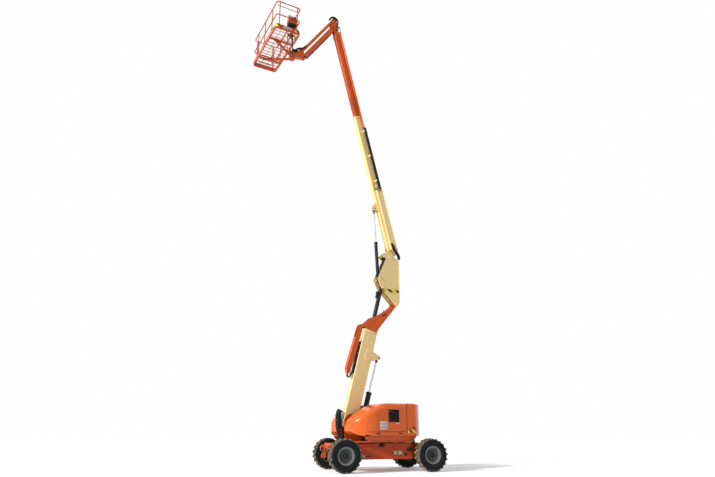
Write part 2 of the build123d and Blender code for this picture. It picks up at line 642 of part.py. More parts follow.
def hose_channel():
    """The channel on the telescoping section that carries the hoses down the tower's front.

    Its upper end is open at the front, where the main boom's cylinder lies when all is lowered.
    """
    end = TOWER_LENGTH
    side = [(end + 50, -291.9), (end + 110, -282.3), (end + 130, -330), (end + 66, -462), (end - 40, -474),
            (1580, -542), (1500, -520), (1640, -376), (end - 130, -318), (end + 30, -310)]
    sides = pair(TOWER.outline(side), CHANNEL_HALF, 6, 0)
    face = TOWER.outline([(CHANNEL_OPEN, -490), (1580, -540), (1580, -531), (CHANNEL_OPEN, -481)])
    channel = sides + slab(face, -CHANNEL_HALF, CHANNEL_HALF)
    foot = [(1440, -500), (1500, -522), (1600, -520), (1640, -392), (1480, -376), (1425, -430)]
    return channel + slab(TOWER.outline(foot), -CHANNEL_HALF - 1, CHANNEL_HALF + 1)


# ---------------------------------------------------------------- cylinders
def barrel(foot, head, length, radius, rod_radius, eye, half, collar=9):
    """A cylinder's barrel from its foot pin toward its head, bored for its rod."""
    start = toward(foot, head, eye * 0.7)
    end = toward(foot, head, length)
    body = rod(start, end, radius)
    body += rod(toward(foot, head, length - 70), end, radius + collar)
    body += ring(foot, eye, 0.1, half)
    body -= rod(toward(foot, head, eye + 60), toward(foot, head, length - 30), rod_radius + 6)
    body -= rod(toward(foot, head, length - 30), toward(foot, head, length + 5), rod_radius + PIN_CLEAR)
    return body


def eye_rod(foot, head, stroke_start, radius, eye, pin_radius, half, pin_half):
    """A cylinder's rod from inside its barrel to the eye at its head, which holds its own pin."""
    start = toward(foot, head, stroke_start)
    end = toward(head, foot, eye * 0.7)
    return rod(start, end, radius) + pin(head, eye, half) + pin(head, pin_radius, pin_half)


# ---------------------------------------------------------------- upright
def upright():
    """The upright between the two booms: two plates with a rear web and cross tubes."""
    outline = [
        (450, 7277), (168, 7053), (350, 6961), (-12, 6186), (140, 5859), (690, 5300), (760, 5285),
               (812, 5330),
        (872, 5420), (872, 6931), (640, 7110), (610, 7180),
    ]
    inner = UPRIGHT_HALF - UPRIGHT_PLATE
    body = pair(outline, inner, UPRIGHT_PLATE, 12.0)
    web = [(858, 5700), (872, 5700), (872, 6900), (858, 6900)]
    body += slab(web, -inner, inner)
    flange = [(850, 5480), (878, 5480), (878, 6925), (850, 6925)]
    body += slab(flange, -UPRIGHT_HALF - 8, -inner) + slab(flange, inner, UPRIGHT_HALF + 8)
    for place, radius in ((TOWER.at(*ELBOW_PIN), PIN_RADIUS), (MAIN_PIN, PIN_RADIUS), (LIFT_FOOT, 26),
                          (LEVEL_TOP, 28)):
        body += pin(place, radius, inner + 1)
        body += pin(place, radius + 14, UPRIGHT_HALF + 6) - pin(place, radius + 20, inner)
    return body


# ---------------------------------------------------------------- main boom
def main_boom_base():
    """The main boom's outer section: a hollow box, its pivot ears, cylinder ears and hose tray."""
    mid = MAIN_FRONT + MAIN_DEPTH / 2
    tube = box_tube(MAIN_S, MAIN_FOOT, MAIN_LENGTH, mid, MAIN_WIDTH, MAIN_DEPTH, MAIN_WALL, 16)
    ear = MAIN_S.outline([(-52, -20), (-40, 46), (60, MAIN_FRONT + MAIN_DEPTH - 30),
                          (MAIN_FOOT + 260, MAIN_FRONT + MAIN_DEPTH - 10),
                          (MAIN_FOOT + 420, MAIN_FRONT + 5), (MAIN_FOOT, MAIN_FRONT - 10), (50, -40),
                          (0, -52)])
    body = tube + pair(ear, MAIN_WIDTH / 2, 12, 10.0)
    body += ring(MAIN_PIN, 56, PIN_RADIUS + PIN_CLEAR, UPRIGHT_HALF - UPRIGHT_PLATE - EYE_GAP)
    body -= pin(MAIN_PIN, PIN_RADIUS + PIN_CLEAR, 300)
    s, n = LIFT_EYE
    lug = MAIN_S.outline([(s - 60, n - 50), (s + 40, n - 45), (s + 230, MAIN_FRONT - 20),
                          (s + 230, MAIN_FRONT + 5), (s - 90, MAIN_FRONT + 5), (s - 90, MAIN_FRONT - 20)])
    body += pair(lug, LIFT_LUG, 12, 10.0)
    body += bosses(MAIN_S.at(s, n), 30, 69, 12)
    out = MAIN_WIDTH / 2 + TRAY_OUT
    side = MAIN_S.outline([(TRAY_START, MAIN_FRONT + 70), (TRAY_END, MAIN_FRONT + 70),
                           (TRAY_END, MAIN_FRONT + MAIN_DEPTH),
                           (TRAY_START - 60, MAIN_FRONT + MAIN_DEPTH + 20),
                           (TRAY_START - 60, MAIN_FRONT + 190)])
    root = TRAY_START + 90
    shelf = MAIN_S.outline([(root, MAIN_FRONT + 70), (TRAY_END, MAIN_FRONT + 70),
                            (TRAY_END, MAIN_FRONT + 70 + TRAY_WALL), (root, MAIN_FRONT + 70 + TRAY_WALL)])
    body += slab(side, -out, -out + TRAY_WALL) + slab(shelf, -out, -MAIN_WIDTH / 2)
    for s in (2900, 3900, 4900):
        bar = [(s, TRACK_LOW - 24), (s + 60, TRACK_LOW - 24), (s + 60, TRACK_LOW - WHEEL_GAP),
               (s, TRACK_LOW - WHEEL_GAP)]
        body += slab(MAIN_S.outline(bar), -out + TRAY_WALL, -MAIN_WIDTH / 2 + 1)
    return body


def main_power_track():
    """The hose track along the near side of the main boom, with its loop at the lower end."""
    near = -MAIN_WIDTH / 2 - TRAY_OUT + TRAY_WALL + WHEEL_GAP
    run = MAIN_S.outline([(2620, TRACK_LOW), (5060, TRACK_LOW), (5060, 300), (2620, 316), (2560, 300),
                          (2540, 262), (2560, 228)])
    return slab(run, near, near + TRACK_THICKNESS)


def main_fly():
    """The main boom's telescoping section with the plates that carry the knuckle."""
    slack = MAIN_WALL + MAIN_SLACK
    mid = MAIN_FRONT + MAIN_DEPTH / 2
    width = MAIN_WIDTH - 2 * slack
    depth = MAIN_DEPTH - 2 * slack
    tube = box_tube(MAIN_S, FLY_START, FLY_END, mid, width, depth, 8, 12)
    seat = 2 * (MAIN_WALL + WHEEL_GAP)
    tube += box_tube(MAIN_S, FLY_START, FLY_START + PAD_LENGTH, mid, MAIN_WIDTH - seat, MAIN_DEPTH - seat,
                     MAIN_SLACK + 2, 12)
    s, n = TIP_PIN
    low, high = mid - depth / 2, mid + depth / 2
    plate = MAIN_S.outline([(FLY_END - 260, low + 12), (FLY_END - 60, low - 4), (s - 10, n - 62),
                            (s + 36, n - 44),
                            (s + 52, n), (s + 36, n + 44), (s - 10, n + 66), (FLY_END + 20, high - 6),
                            (FLY_END - 260, high - 12)])
    body = tube + pair(plate, width / 2, 11, 8.0)
    body += ring(MAIN_S.at(s, n), 48, 26 + PIN_CLEAR, width / 2 + 11)
    body -= pin(MAIN_S.at(s, n), 26 + PIN_CLEAR, 200)
    return body


def push_tube():
    """The tube from the boom's head that pulls the hose track along, with its clamps."""
    start = MAIN_S.at(FLY_END + 40, TUBE_ACROSS)
    end = MAIN_S.at(TUBE_END, TUBE_ACROSS)
    tube = rod(start, end, TUBE_RADIUS, TUBE_OFFSET)
    slack = MAIN_WALL + MAIN_SLACK
    face = -(MAIN_WIDTH / 2 - slack) - 11 - WHEEL_GAP
    foot = MAIN_S.outline([(FLY_END - 50, TUBE_ACROSS - 96), (FLY_END + 50, TUBE_ACROSS - 96),
                           (FLY_END + 50, TUBE_ACROSS - 6), (FLY_END - 50, TUBE_ACROSS - 6)])
    tube += slab(foot, TUBE_OFFSET, face)
    for s in (TUBE_END + 30, TUBE_END + 380):
        tube += rod(MAIN_S.at(s, TUBE_ACROSS), MAIN_S.at(s + 90, TUBE_ACROSS), TUBE_RADIUS + 3, TUBE_OFFSET)
    return tube


# ---------------------------------------------------------------- jib
def shifted(place, du, dz):
    """A boom-plane point moved by du and dz."""
    return (place[0] + du, place[1] + dz)


def head_knuckle():
    """The knuckle at the boom's tip: plates on the tip pin that carry the jib's two pins."""
    tip = MAIN_S.at(*TIP_PIN)
    link = shifted(JIB_PIN, *LINK_OFFSET)
    outline = [
        shifted(tip, 40, -62), shifted(tip, 100, 20), shifted(tip, 100, 104), shifted(link, 100, 30),
        shifted(link, 46, 64), shifted(link, -34, 64), shifted(link, -78, -10), shifted(JIB_PIN, -74, 50),
        shifted(JIB_PIN, -66, -32), shifted(JIB_PIN, -20, -68), shifted(tip, -40, -66),
    ]
    body = pair(outline, HEAD_CHEEK, 12, 14.0)
    strap = [shifted(tip, 66, 150), shifted(tip, 84, 152), shifted(link, 98, 10), shifted(link, 80, 10)]
    body += slab(strap, -HEAD_CHEEK, HEAD_CHEEK)
    reach = HEAD_CHEEK + 1
    return body + pin(JIB_PIN, 28, reach) + pin(link, 20, reach) + pin(tip, 26, reach)


def jib_tube():
    """The jib's lower tube with an eye at its knuckle and a fork at its head."""
    wide = JIB_SIZE - 20
    body = box_tube(JIB, 90, JIB_LENGTH - 120, 0, wide, JIB_SIZE, 7, 12)
    root = slab(JIB.outline([(-50, -34), (96, -72), (96, 72), (-50, 34)]), -wide / 2 + 2, wide / 2 - 2, 14.0)
    head = pair(JIB.outline([(JIB_LENGTH - 260, -72), (JIB_LENGTH - 260, 72), (JIB_LENGTH + 50, 56),
                             (JIB_LENGTH + 50, -56)]), wide / 2, 10, 14.0)
    body = body + root + head
    body -= pin(JIB_PIN, 28 + PIN_CLEAR, 200)
    return body + pin(JIB.at(JIB_LENGTH, 0), 24, wide / 2 + 1)


def jib_link():
    """The jib's upper levelling bar, parallel to the tube."""
    axis = Axis2(shifted(JIB_PIN, *LINK_OFFSET), 180 + JIB_ANGLE)
    half = LINK_SIZE / 2
    body = box_tube(axis, 60, JIB_LENGTH - 60, 0, LINK_SIZE, LINK_SIZE, 6, 10)
    for s, away in ((0, 1), (JIB_LENGTH, -1)):
        plug = axis.outline([(s - away * 36, -30), (s - away * 36, 30), (s + away * 66, half - 4),
                             (s + away * 66, 4 - half)])
        body += slab(plug, -half + 1, half - 1, 10.0) - pin(axis.at(s, 0), 20 + PIN_CLEAR, 200)
    return body


def jib_head():
    """The level head at the jib's end, with the rotary actuator that turns the platform."""
    low = JIB.at(JIB_LENGTH, 0)
    high = shifted(low, *LINK_OFFSET)
    u, z = ROTATOR
    inner = LINK_SIZE / 2 + 10
    outline = [
        shifted(low, 52, -44), shifted(low, 60, 30), shifted(low, -25, 120), shifted(high, -20, -60),
        shifted(high, 44, -10), shifted(high, 36, 42), shifted(high, -44, 42), shifted(high, -90, -60),
        (u + 80, z + 105), (u + 80, z - 100), shifted(low, -60, -64),
    ]
    body = pair(outline, inner, 14, 14.0)
    core = [shifted(low, -72, -66), shifted(low, -60, 40), shifted(high, -100, -120),
            shifted(high, -128, -88),
            (u + 78, z + 105), (u + 78, z - 100)]
    body += slab(core, -inner, inner)
    body += Pos(u, 0, z) * Cylinder(ROTATOR_RADIUS, 220)
    body += ring(low, 50, 24 + PIN_CLEAR, inner + 14)
    return body - pin(low, 24 + PIN_CLEAR, 200) + pin(high, 20, inner + 1)


# ---------------------------------------------------------------- platform
def platform_support():
    """The support that turns on the actuator and spreads under the platform's floor."""
    u, z = ROTATOR
    low = PLATFORM_FLOOR - 70
    hub = Pos(u, 0, z - 150 - WHEEL_GAP) * Cylinder(120, 80)
    arms = []
    for side in (-1, 1):
        far = Vector(PLATFORM_CENTRE - 250, side * 620, low)
        near = Vector(u, side * 60, z - 150)
        bar = extrude(Plane(origin=near, z_dir=far - near) * Rectangle(60, 60), amount=(far - near).length)
        arms.append(bar)
    return hub.fuse(*arms)


def rail_loop(height, grow=0.0):
    """One rail all round the platform, rounded at its corners."""
    half_u, half_v = PLATFORM_WIDTH / 2 - RAIL_RADIUS, PLATFORM_LENGTH / 2 - RAIL_RADIUS
    path = RectangleRounded(2 * half_u, 2 * half_v, 90 - RAIL_RADIUS).wire()
    start = path.position_at(0)
    plane = Plane(origin=start, z_dir=path.tangent_at(0))
    loop = sweep(plane * Circle(RAIL_RADIUS + grow), path=path)
    return Pos(PLATFORM_CENTRE, 0, PLATFORM_FLOOR + height) * loop


def gate_gap():
    """The clear block of the entry, at the far end of the platform."""
    v = PLATFORM_LENGTH / 2
    return Pos(PLATFORM_CENTRE, v, PLATFORM_FLOOR + TOE_HEIGHT + 520) * Box(GATE_WIDTH, 200, 1020)


def guard_rail(height):
    """One guard rail, open at the gate."""
    return rail_loop(height) - gate_gap()


def rail_posts():
    """The posts between the toe board and the rails, seated on both."""
    half_u, half_v = PLATFORM_WIDTH / 2 - RAIL_RADIUS, PLATFORM_LENGTH / 2 - RAIL_RADIUS
    posts = [(u, side * half_v) for side in (-1, 1) for u in (-GATE_WIDTH / 2 - RAIL_RADIUS,
                                                              GATE_WIDTH / 2 + RAIL_RADIUS)]
    posts += [(side * half_u, v) for side in (-1, 1) for v in (-half_v * 0.62, 0.0, half_v * 0.62)]
    seats = rail_loop(MID_RAIL, WHEEL_GAP) + rail_loop(RAIL_HEIGHT, WHEEL_GAP)
    tall = RAIL_HEIGHT - TOE_HEIGHT - WHEEL_GAP
    pieces = []
    for u, v in posts:
        post = Cylinder(RAIL_RADIUS - 2, tall)
        post = Pos(PLATFORM_CENTRE + u, v, PLATFORM_FLOOR + TOE_HEIGHT + WHEEL_GAP + tall / 2) * post
        pieces += [piece for piece in (post - seats).solids() if piece.volume > 50000]
    return Compound(children=pieces)


def platform_gate():
    """The entry gate: a tube frame with sleeves that turn on the far end's post."""
    v = PLATFORM_LENGTH / 2 - RAIL_RADIUS
    half = GATE_WIDTH / 2 - GATE_GAP
    low, high = TOE_HEIGHT + 60, RAIL_HEIGHT
    frame = FilletPolyline((-half, low), (half, low), (half, high), (-half, high), radius=60, close=True)
    plane = Plane(origin=(PLATFORM_CENTRE, v, PLATFORM_FLOOR), x_dir=(1, 0, 0), z_dir=(0, -1, 0))
    path = plane * frame
    start = Plane(origin=path.position_at(0), z_dir=path.tangent_at(0))
    gate = sweep(start * Circle(RAIL_RADIUS - 3), path=path)
    mid = Plane(origin=(PLATFORM_CENTRE - half, v, PLATFORM_FLOOR + MID_RAIL), z_dir=(1, 0, 0))
    gate += extrude(mid * Circle(RAIL_RADIUS - 4), amount=2 * half)
    post = PLATFORM_CENTRE - GATE_WIDTH / 2 - RAIL_RADIUS
    for height in (340.0, 900.0):
        sleeve = Circle(RAIL_RADIUS + 13) - Circle(RAIL_RADIUS - 2 + PIN_CLEAR)
        gate += Pos(post, v, PLATFORM_FLOOR + height) * extrude(sleeve, amount=60)
    return gate


def platform_floor():
    """The floor: a rim, two thick cross-beams, and a grid of thin bars that carries the mesh."""
    rim_out = RectangleRounded(PLATFORM_WIDTH, PLATFORM_LENGTH, 90)
    rim_in = RectangleRounded(PLATFORM_WIDTH - 2 * 34, PLATFORM_LENGTH - 2 * 34, 60)
    low = PLATFORM_FLOOR - 40
    floor = extrude(Plane.XY.offset(low) * (rim_out - rim_in), amount=40)
    floor += extrude(Plane.XY.offset(PLATFORM_FLOOR) * (rim_out - RectangleRounded(
        PLATFORM_WIDTH - 2 * TOE_WALL, PLATFORM_LENGTH - 2 * TOE_WALL, 88)), amount=TOE_HEIGHT)
    rows = 13
    for index in range(rows):
        v = PLATFORM_LENGTH * ((index + 1) / (rows + 1) - 0.5)
        floor += Pos(0, v, low + 26) * Box(PLATFORM_WIDTH - 40, 14, 14)
    for u in (-0.25, 0.0, 0.25):
        floor += Pos(u * PLATFORM_WIDTH, 0, low + 26) * Box(14, PLATFORM_LENGTH - 40, 14)
    for v in (-600.0, 600.0):
        floor += Pos(0, v, low + 14) * Box(PLATFORM_WIDTH - 20, 70, 28)
    return Pos(PLATFORM_CENTRE, 0, 0) * floor


def console():
    """The platform's control console, hung inside the near end's middle rail."""
    v = -PLATFORM_LENGTH / 2 + 2 * RAIL_RADIUS + 110
    z = PLATFORM_FLOOR + MID_RAIL
    outline = [(-150, -210), (150, -210), (150, 60), (110, 95), (-110, 95), (-150, 60)]
    box = slab([(PLATFORM_CENTRE + 190 + u, z + w) for u, w in outline], v - 105, v + 105, 18.0)
    hook = slab([(PLATFORM_CENTRE + 120, z + 60), (PLATFORM_CENTRE + 260, z + 60),
                 (PLATFORM_CENTRE + 260, z + RAIL_RADIUS + WHEEL_GAP),
                 (PLATFORM_CENTRE + 120, z + RAIL_RADIUS + WHEEL_GAP)],
                -PLATFORM_LENGTH / 2 + 4, v - 100)
    return box + hook


# ---------------------------------------------------------------- the whole machine
def tower_cylinder():
    """The tower's lift cylinder: barrel and rod."""
    half = 40.0
    body = barrel(CYL_FOOT, CYL_HEAD, CYL_BARREL, CYL_RADIUS, CYL_ROD, 78, half)
    body -= pin(CYL_FOOT, 28 + PIN_CLEAR, 200)
    return body, eye_rod(CYL_FOOT, CYL_HEAD, CYL_BARREL - 160, CYL_ROD, 52, 26, half,
                         TOWER_WIDTH / 2 - PIN_CLEAR)


def level_cylinder():
    """The cylinder that keeps the upright plumb: barrel and rod."""
    foot, head = LEVEL_TOP, TOWER.at(*LEVEL_FOOT)
    body = barrel(foot, head, LEVEL_BARREL, LEVEL_RADIUS, LEVEL_ROD, 62, 50, 4)
    body -= pin(foot, 28 + PIN_CLEAR, 200)
    return body, eye_rod(foot, head, LEVEL_BARREL - 60, LEVEL_ROD, 50, 24, 50, FORK_INNER - PIN_CLEAR)


def main_cylinder():
    """The main boom's lift cylinder: barrel and rod."""
    foot, head = LIFT_FOOT, MAIN_S.at(*LIFT_EYE)
    body = barrel(foot, head, LIFT_BARREL, LIFT_RADIUS, LIFT_ROD, 52, 44, 2)
    body -= pin(foot, 26 + PIN_CLEAR, 200)
    return body, eye_rod(foot, head, LIFT_BARREL - 160, LIFT_ROD, 44, 22, 44, LIFT_LUG - PIN_CLEAR)


def carrier_nodes():
    """The pieces that stay in line with the carrier."""
    nodes = {
        "chassis_frame": chassis_frame(), "tie_down_lugs": tie_down_lugs(), "fixed_axle": fixed_axle(),
        "steer_axle": steer_axle(), "slew_ring": slew_ring(),
        "knuckle_near": knuckle(-1), "knuckle_far": knuckle(1),
    }
    places = {"front_near": (-1, -1), "front_far": (-1, 1), "rear_near": (1, -1), "rear_far": (1, 1)}
    for name, (end, side) in places.items():
        x, y = end * WHEELBASE / 2, side * TRACK / 2
        nodes["tyre_" + name] = tyre(x, y)
        nodes["rim_" + name] = rim(x, y)
    return nodes


def upper_nodes():
    """The pieces that swing with the turntable, in the boom plane's own frame."""
    near_hood = hood()
    near_hood = near_hood - grille_window(0) - hood_groove()
    nodes = {
        "turntable_base": turntable_base(), "counterweight": counterweight(), "engine_block": engine_block(),
        "hose_guard": hose_guard(), "hood_near": near_hood, "hood_far": mirror(near_hood, about=Plane.XZ),
        "grille_near": grille(), "grille_far": mirror(grille(), about=Plane.XZ),
        "lower_boom": lower_boom(), "tower_track": tower_track(), "tower_fly": tower_fly(),
        "hose_channel": hose_channel(), "upright": upright(), "main_boom_base": main_boom_base(),
        "main_power_track": main_power_track(), "main_fly": main_fly(), "push_tube": push_tube(),
        "head_knuckle": head_knuckle(), "jib_tube": jib_tube(), "jib_link": jib_link(),
             "jib_head": jib_head(),
        "platform_support": platform_support(), "platform_floor": platform_floor(),
        "top_rail": guard_rail(RAIL_HEIGHT), "middle_rail": guard_rail(MID_RAIL), "rail_posts": rail_posts(),
        "platform_gate": platform_gate(), "console": console(),
    }
    pairs = {"tower_cylinder": tower_cylinder(), "level_cylinder": level_cylinder(),
             "main_cylinder": main_cylinder()}
    for name, (body, bar) in pairs.items():
        nodes[name + "_barrel"] = body
        nodes[name + "_rod"] = bar
    return nodes


def main():
    """Build every sub-part and write its STEP file."""
    os.makedirs("parts", exist_ok=True)
    nodes = carrier_nodes()
    nodes.update({name: SWING * shape for name, shape in upper_nodes().items()})
    for name, shape in nodes.items():
        export_step(shape, f"parts/{name}.step")
        print(name, round(shape.volume / 1e6, 2), "litres")


if __name__ == "__main__":
    main()
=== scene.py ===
"""Looks of the articulating boom lift: finishes for every solid and the small parts that dress them."""

import json
import logging
from collections.abc import Callable, Iterable
from dataclasses import dataclass
from enum import Enum
from functools import cache
from math import atan2, cos, pi, radians, sin, sqrt

import bmesh
import bpy
from mathutils import Matrix, Vector

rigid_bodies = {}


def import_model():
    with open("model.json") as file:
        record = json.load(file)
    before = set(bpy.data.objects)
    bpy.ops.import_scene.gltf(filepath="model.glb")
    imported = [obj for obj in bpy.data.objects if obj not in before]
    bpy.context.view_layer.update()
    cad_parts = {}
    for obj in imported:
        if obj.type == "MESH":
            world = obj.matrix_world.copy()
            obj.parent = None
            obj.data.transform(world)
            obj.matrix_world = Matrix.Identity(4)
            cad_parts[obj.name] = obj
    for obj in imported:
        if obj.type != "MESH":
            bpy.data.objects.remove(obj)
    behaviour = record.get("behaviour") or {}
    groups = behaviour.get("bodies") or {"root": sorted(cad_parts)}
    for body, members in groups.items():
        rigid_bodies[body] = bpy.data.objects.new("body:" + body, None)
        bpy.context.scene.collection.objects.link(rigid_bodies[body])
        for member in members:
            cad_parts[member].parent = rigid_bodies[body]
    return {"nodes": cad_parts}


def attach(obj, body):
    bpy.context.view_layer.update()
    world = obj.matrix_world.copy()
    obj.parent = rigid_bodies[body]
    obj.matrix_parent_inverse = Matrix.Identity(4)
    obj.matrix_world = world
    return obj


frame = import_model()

LOG = logging.getLogger("boom_lift")
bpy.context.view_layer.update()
SWING = radians(12.0)                    # of the upper works from the carrier
UPPER = Matrix.Rotation(SWING, 4, "Z")
AXLE_X, WHEEL_Y, AXLE_Z = 1.37, 1.06, 0.48
Pair = tuple[float, float]
Point = tuple[float, float, float]
Placer = Callable[..., Vector]
Socket = bpy.types.NodeSocket
Node = bpy.types.Node
Tree = bpy.types.NodeTree
Vert = bmesh.types.BMVert


# ---------------------------------------------------------------- places
def plain(x: float, y: float, z: float) -> Vector:
    """Give the place of a point of the carrier."""
    return Vector((x, y, z))


def shift(x: float, y: float, z: float) -> Matrix:
    """Give a frame moved to a point, as the carrier's parts and a frame's own parts are placed."""
    return Matrix.Translation((x, y, z))


def upper(u: float, v: float, z: float) -> Vector:
    """Give the place of a point of the upper works.

    Args:
        u: Along the boom plane, in metres.
        v: Across the boom plane, away from the near side.
        z: Above the floor.

    Returns:
        The point in the part's own frame.
    """
    return Vector((u * cos(SWING) - v * sin(SWING), u * sin(SWING) + v * cos(SWING), z))


def spot(u: float, v: float, z: float) -> Matrix:
    """Give a frame of the upper works at a point, X along u, Y across, Z up."""
    return Matrix.Translation(upper(u, v, z)) @ UPPER


def around(count: int, axis: str = "Z") -> list[Matrix]:
    """Give evenly spaced turns of a full circle."""
    return [Matrix.Rotation(index * 2 * pi / count, 4, axis) for index in range(count)]


def steps(start: float, step: float, count: int) -> list[float]:
    """Give evenly spaced values."""
    return [start + step * index for index in range(count)]


class Facing(Enum):
    """The way a round piece's axis points, as the turn that brings +Z there."""

    ACROSS = Matrix.Rotation(-pi / 2, 4, "X")
    TOWARD_NEAR = Matrix.Rotation(pi / 2, 4, "X")
    ALONG = Matrix.Rotation(pi / 2, 4, "Y")


SIDES = ((-1, Facing.TOWARD_NEAR.value), (1, Facing.ACROSS.value))


@dataclass(frozen=True)
class BoomAxes:
    """A boom's own axes: s along it, n across it in the boom plane, v out of the plane."""

    u: float
    z: float
    angle: float

    def at(self, s: float, n: float, v: float = 0.0) -> Vector:
        """Give a point's place from its distances along, across and out of the boom plane."""
        a = radians(self.angle)
        return upper(self.u + s * cos(a) + n * sin(a), v, self.z + s * sin(a) - n * cos(a))

    def frame(self, s: float, n: float, v: float) -> Matrix:
        """Give the matrix of a small frame: X along the boom, Y across the plane, Z along -n."""
        turn = UPPER @ Matrix.Rotation(-radians(self.angle), 4, "Y")
        return Matrix.Translation(self.at(s, n, v)) @ turn

    def side(self, s: float, n: float, v: float, face: Matrix) -> Matrix:
        """Give the frame of a round piece that stands out from the boom's side."""
        return Matrix.Translation(self.at(s, n, v)) @ UPPER @ face


TOWER = BoomAxes(-1.04, 1.43, 75.0)
MAIN = BoomAxes(0.526, 7.035, 105.0)
JIB = BoomAxes(-1.86, 16.13, 236.6)


# ---------------------------------------------------------------- shader groups
class Graph:
    """A node tree that grows by short steps, from sockets and constants."""

    def __init__(self, tree: Tree) -> None:
        """Hold the tree."""
        self.tree = tree

    def feed(self, socket: Socket, value: object) -> None:
        """Link an input to a socket, or set its constant."""
        if isinstance(value, Socket):
            self.tree.links.new(value, socket)
        else:
            socket.default_value = (*value, 1.0) if socket.type == "RGBA" and len(value) == 3 else value

    def add(self, kind: str, values: dict[str, object] | None = None) -> Node:
        """Add a node and feed the inputs that are named."""
        return self.fill(self.tree.nodes.new("ShaderNode" + kind), values or {})

    def fill(self, node: Node, values: dict[str, object]) -> Node:
        """Feed a node's inputs by their names, and give the node back."""
        for name, value in values.items():
            self.feed(node.inputs[name], value)
        return node

    def group(self, tree: Tree, values: dict[str, object]) -> Node:
        """Add a shared group and feed its inputs."""
        node = self.add("Group")
        node.node_tree = tree
        return self.fill(node, values)

    def math(self, kind: str, first: object, second: object = None, clamp: bool = False) -> Socket:
        """Add one maths node.

        Args:
            kind: The operation's name.
            first: A socket or a number.
            second: A socket or a number, if the operation has two.
            clamp: Whether the result stays between 0 and 1.

        Returns:
            The node's output.
        """
        node = self.add("Math")
        node.operation = kind
        node.use_clamp = clamp
        for place, value in enumerate((first, second)):
            if value is not None:
                self.feed(node.inputs[place], value)
        return node.outputs[0]

    def blend(self, share: object, low: object, high: object) -> Socket:
        """Mix two colours: the low one at a share of 0, the high one at a share of 1."""
        node = self.add("Mix")
        node.data_type = "RGBA"
        sockets = {item.identifier: item for item in node.inputs}
        for name, value in (("Factor_Float", share), ("A_Color", low), ("B_Color", high)):
            self.feed(sockets[name], value)
        return next(item for item in node.outputs if item.identifier == "Result_Color")

    def noise(self, place: Socket, scale: float, detail: float) -> Socket:
        """Add a noise texture and give its value."""
        return self.add("TexNoise", {"Vector": place, "Scale": scale, "Detail": detail}).outputs["Fac"]

    def split(self, place: Socket) -> dict[str, Socket]:
        """Give a vector's X, Y and Z."""
        return self.add("SeparateXYZ", {"Vector": place}).outputs


def begin(name: str, inputs: dict[str, str],
          outputs: dict[str, str]) -> tuple[Graph, dict[str, Socket], Node]:
    """Start a shared group.

    Args:
        name: The group's name.
        inputs: Each input's kind.
        outputs: Each output's kind.

    Returns:
        The group's graph, the sockets that its inputs give, and the node that takes its results.
    """
    tree = bpy.data.node_groups.new(name, "ShaderNodeTree")
    for way, sockets in (("INPUT", inputs), ("OUTPUT", outputs)):
        for title, kind in sockets.items():
            tree.interface.new_socket(name=title, in_out=way, socket_type="NodeSocket" + kind)
    return Graph(tree), tree.nodes.new("NodeGroupInput").outputs, tree.nodes.new("NodeGroupOutput")


GRIME_BROWN, DUST_TAN = (0.05, 0.035, 0.024), (0.36, 0.27, 0.17)
TAPE_YELLOW, TAPE_BLACK = (0.92, 0.62, 0.02), (0.012, 0.012, 0.012)
LUG_ROOT = 0.425                         # from the axle to where a tyre's lugs start
DUST_TOP = 1.0                           # above the floor, where the dust ends
STRIPE_WAY = (1.0, 0.0, 1.0)


@cache
def weathering() -> Tree:
    """Make the group for uneven paint with grime, and dust that thins out with height."""
    graph, given, result = begin(
        "weathering", {
            "Place": "Vector", "Paint": "Color", "Grime": "Float", "Dust": "Float", "Gloss": "Float"},
        {"Paint": "Color", "Roughness": "Float", "Height": "Float"})
    place = given["Place"]
    fine = graph.noise(place, 38.0, 4.0)
    streak = graph.math("MULTIPLY", graph.noise(place, 1.7, 5.0), fine)
    grime = graph.math("MULTIPLY", graph.math("SUBTRACT", streak, 0.18), 2.6, True)
    grime = graph.math("MULTIPLY", grime, given["Grime"], True)
    shade = graph.blend(grime, given["Paint"], GRIME_BROWN)
    low = graph.math("SUBTRACT", DUST_TOP, graph.split(place)["Z"], True)
    dust = graph.math("MULTIPLY", graph.math("MULTIPLY", low, fine), given["Dust"], True)
    rough = graph.math("ADD", given["Gloss"], graph.math("MULTIPLY", fine, 0.1))
    rough = graph.math("ADD", graph.math("SUBTRACT", rough, 0.05), graph.math("MULTIPLY", dust, 0.4), True)
    graph.fill(result, {"Paint": graph.blend(dust, shade, DUST_TAN), "Roughness": rough, "Height": fine})
    return graph.tree


@cache
def stripes() -> Tree:
    """Make the group for slanting warning stripes along a direction."""
    graph, given, result = begin("stripes", {"Place": "Vector", "Pitch": "Float"}, {"Stripe": "Color"})
    dot = graph.add("VectorMath")
    dot.operation = "DOT_PRODUCT"
    graph.feed(dot.inputs[0], given["Place"])
    graph.feed(dot.inputs[1], STRIPE_WAY)
    turn = graph.math("DIVIDE", dot.outputs["Value"], given["Pitch"])
    band = graph.math("GREATER_THAN", graph.math("FRACT", turn), 0.5)
    graph.feed(result.inputs["Stripe"], graph.blend(band, TAPE_YELLOW, TAPE_BLACK))
    return graph.tree


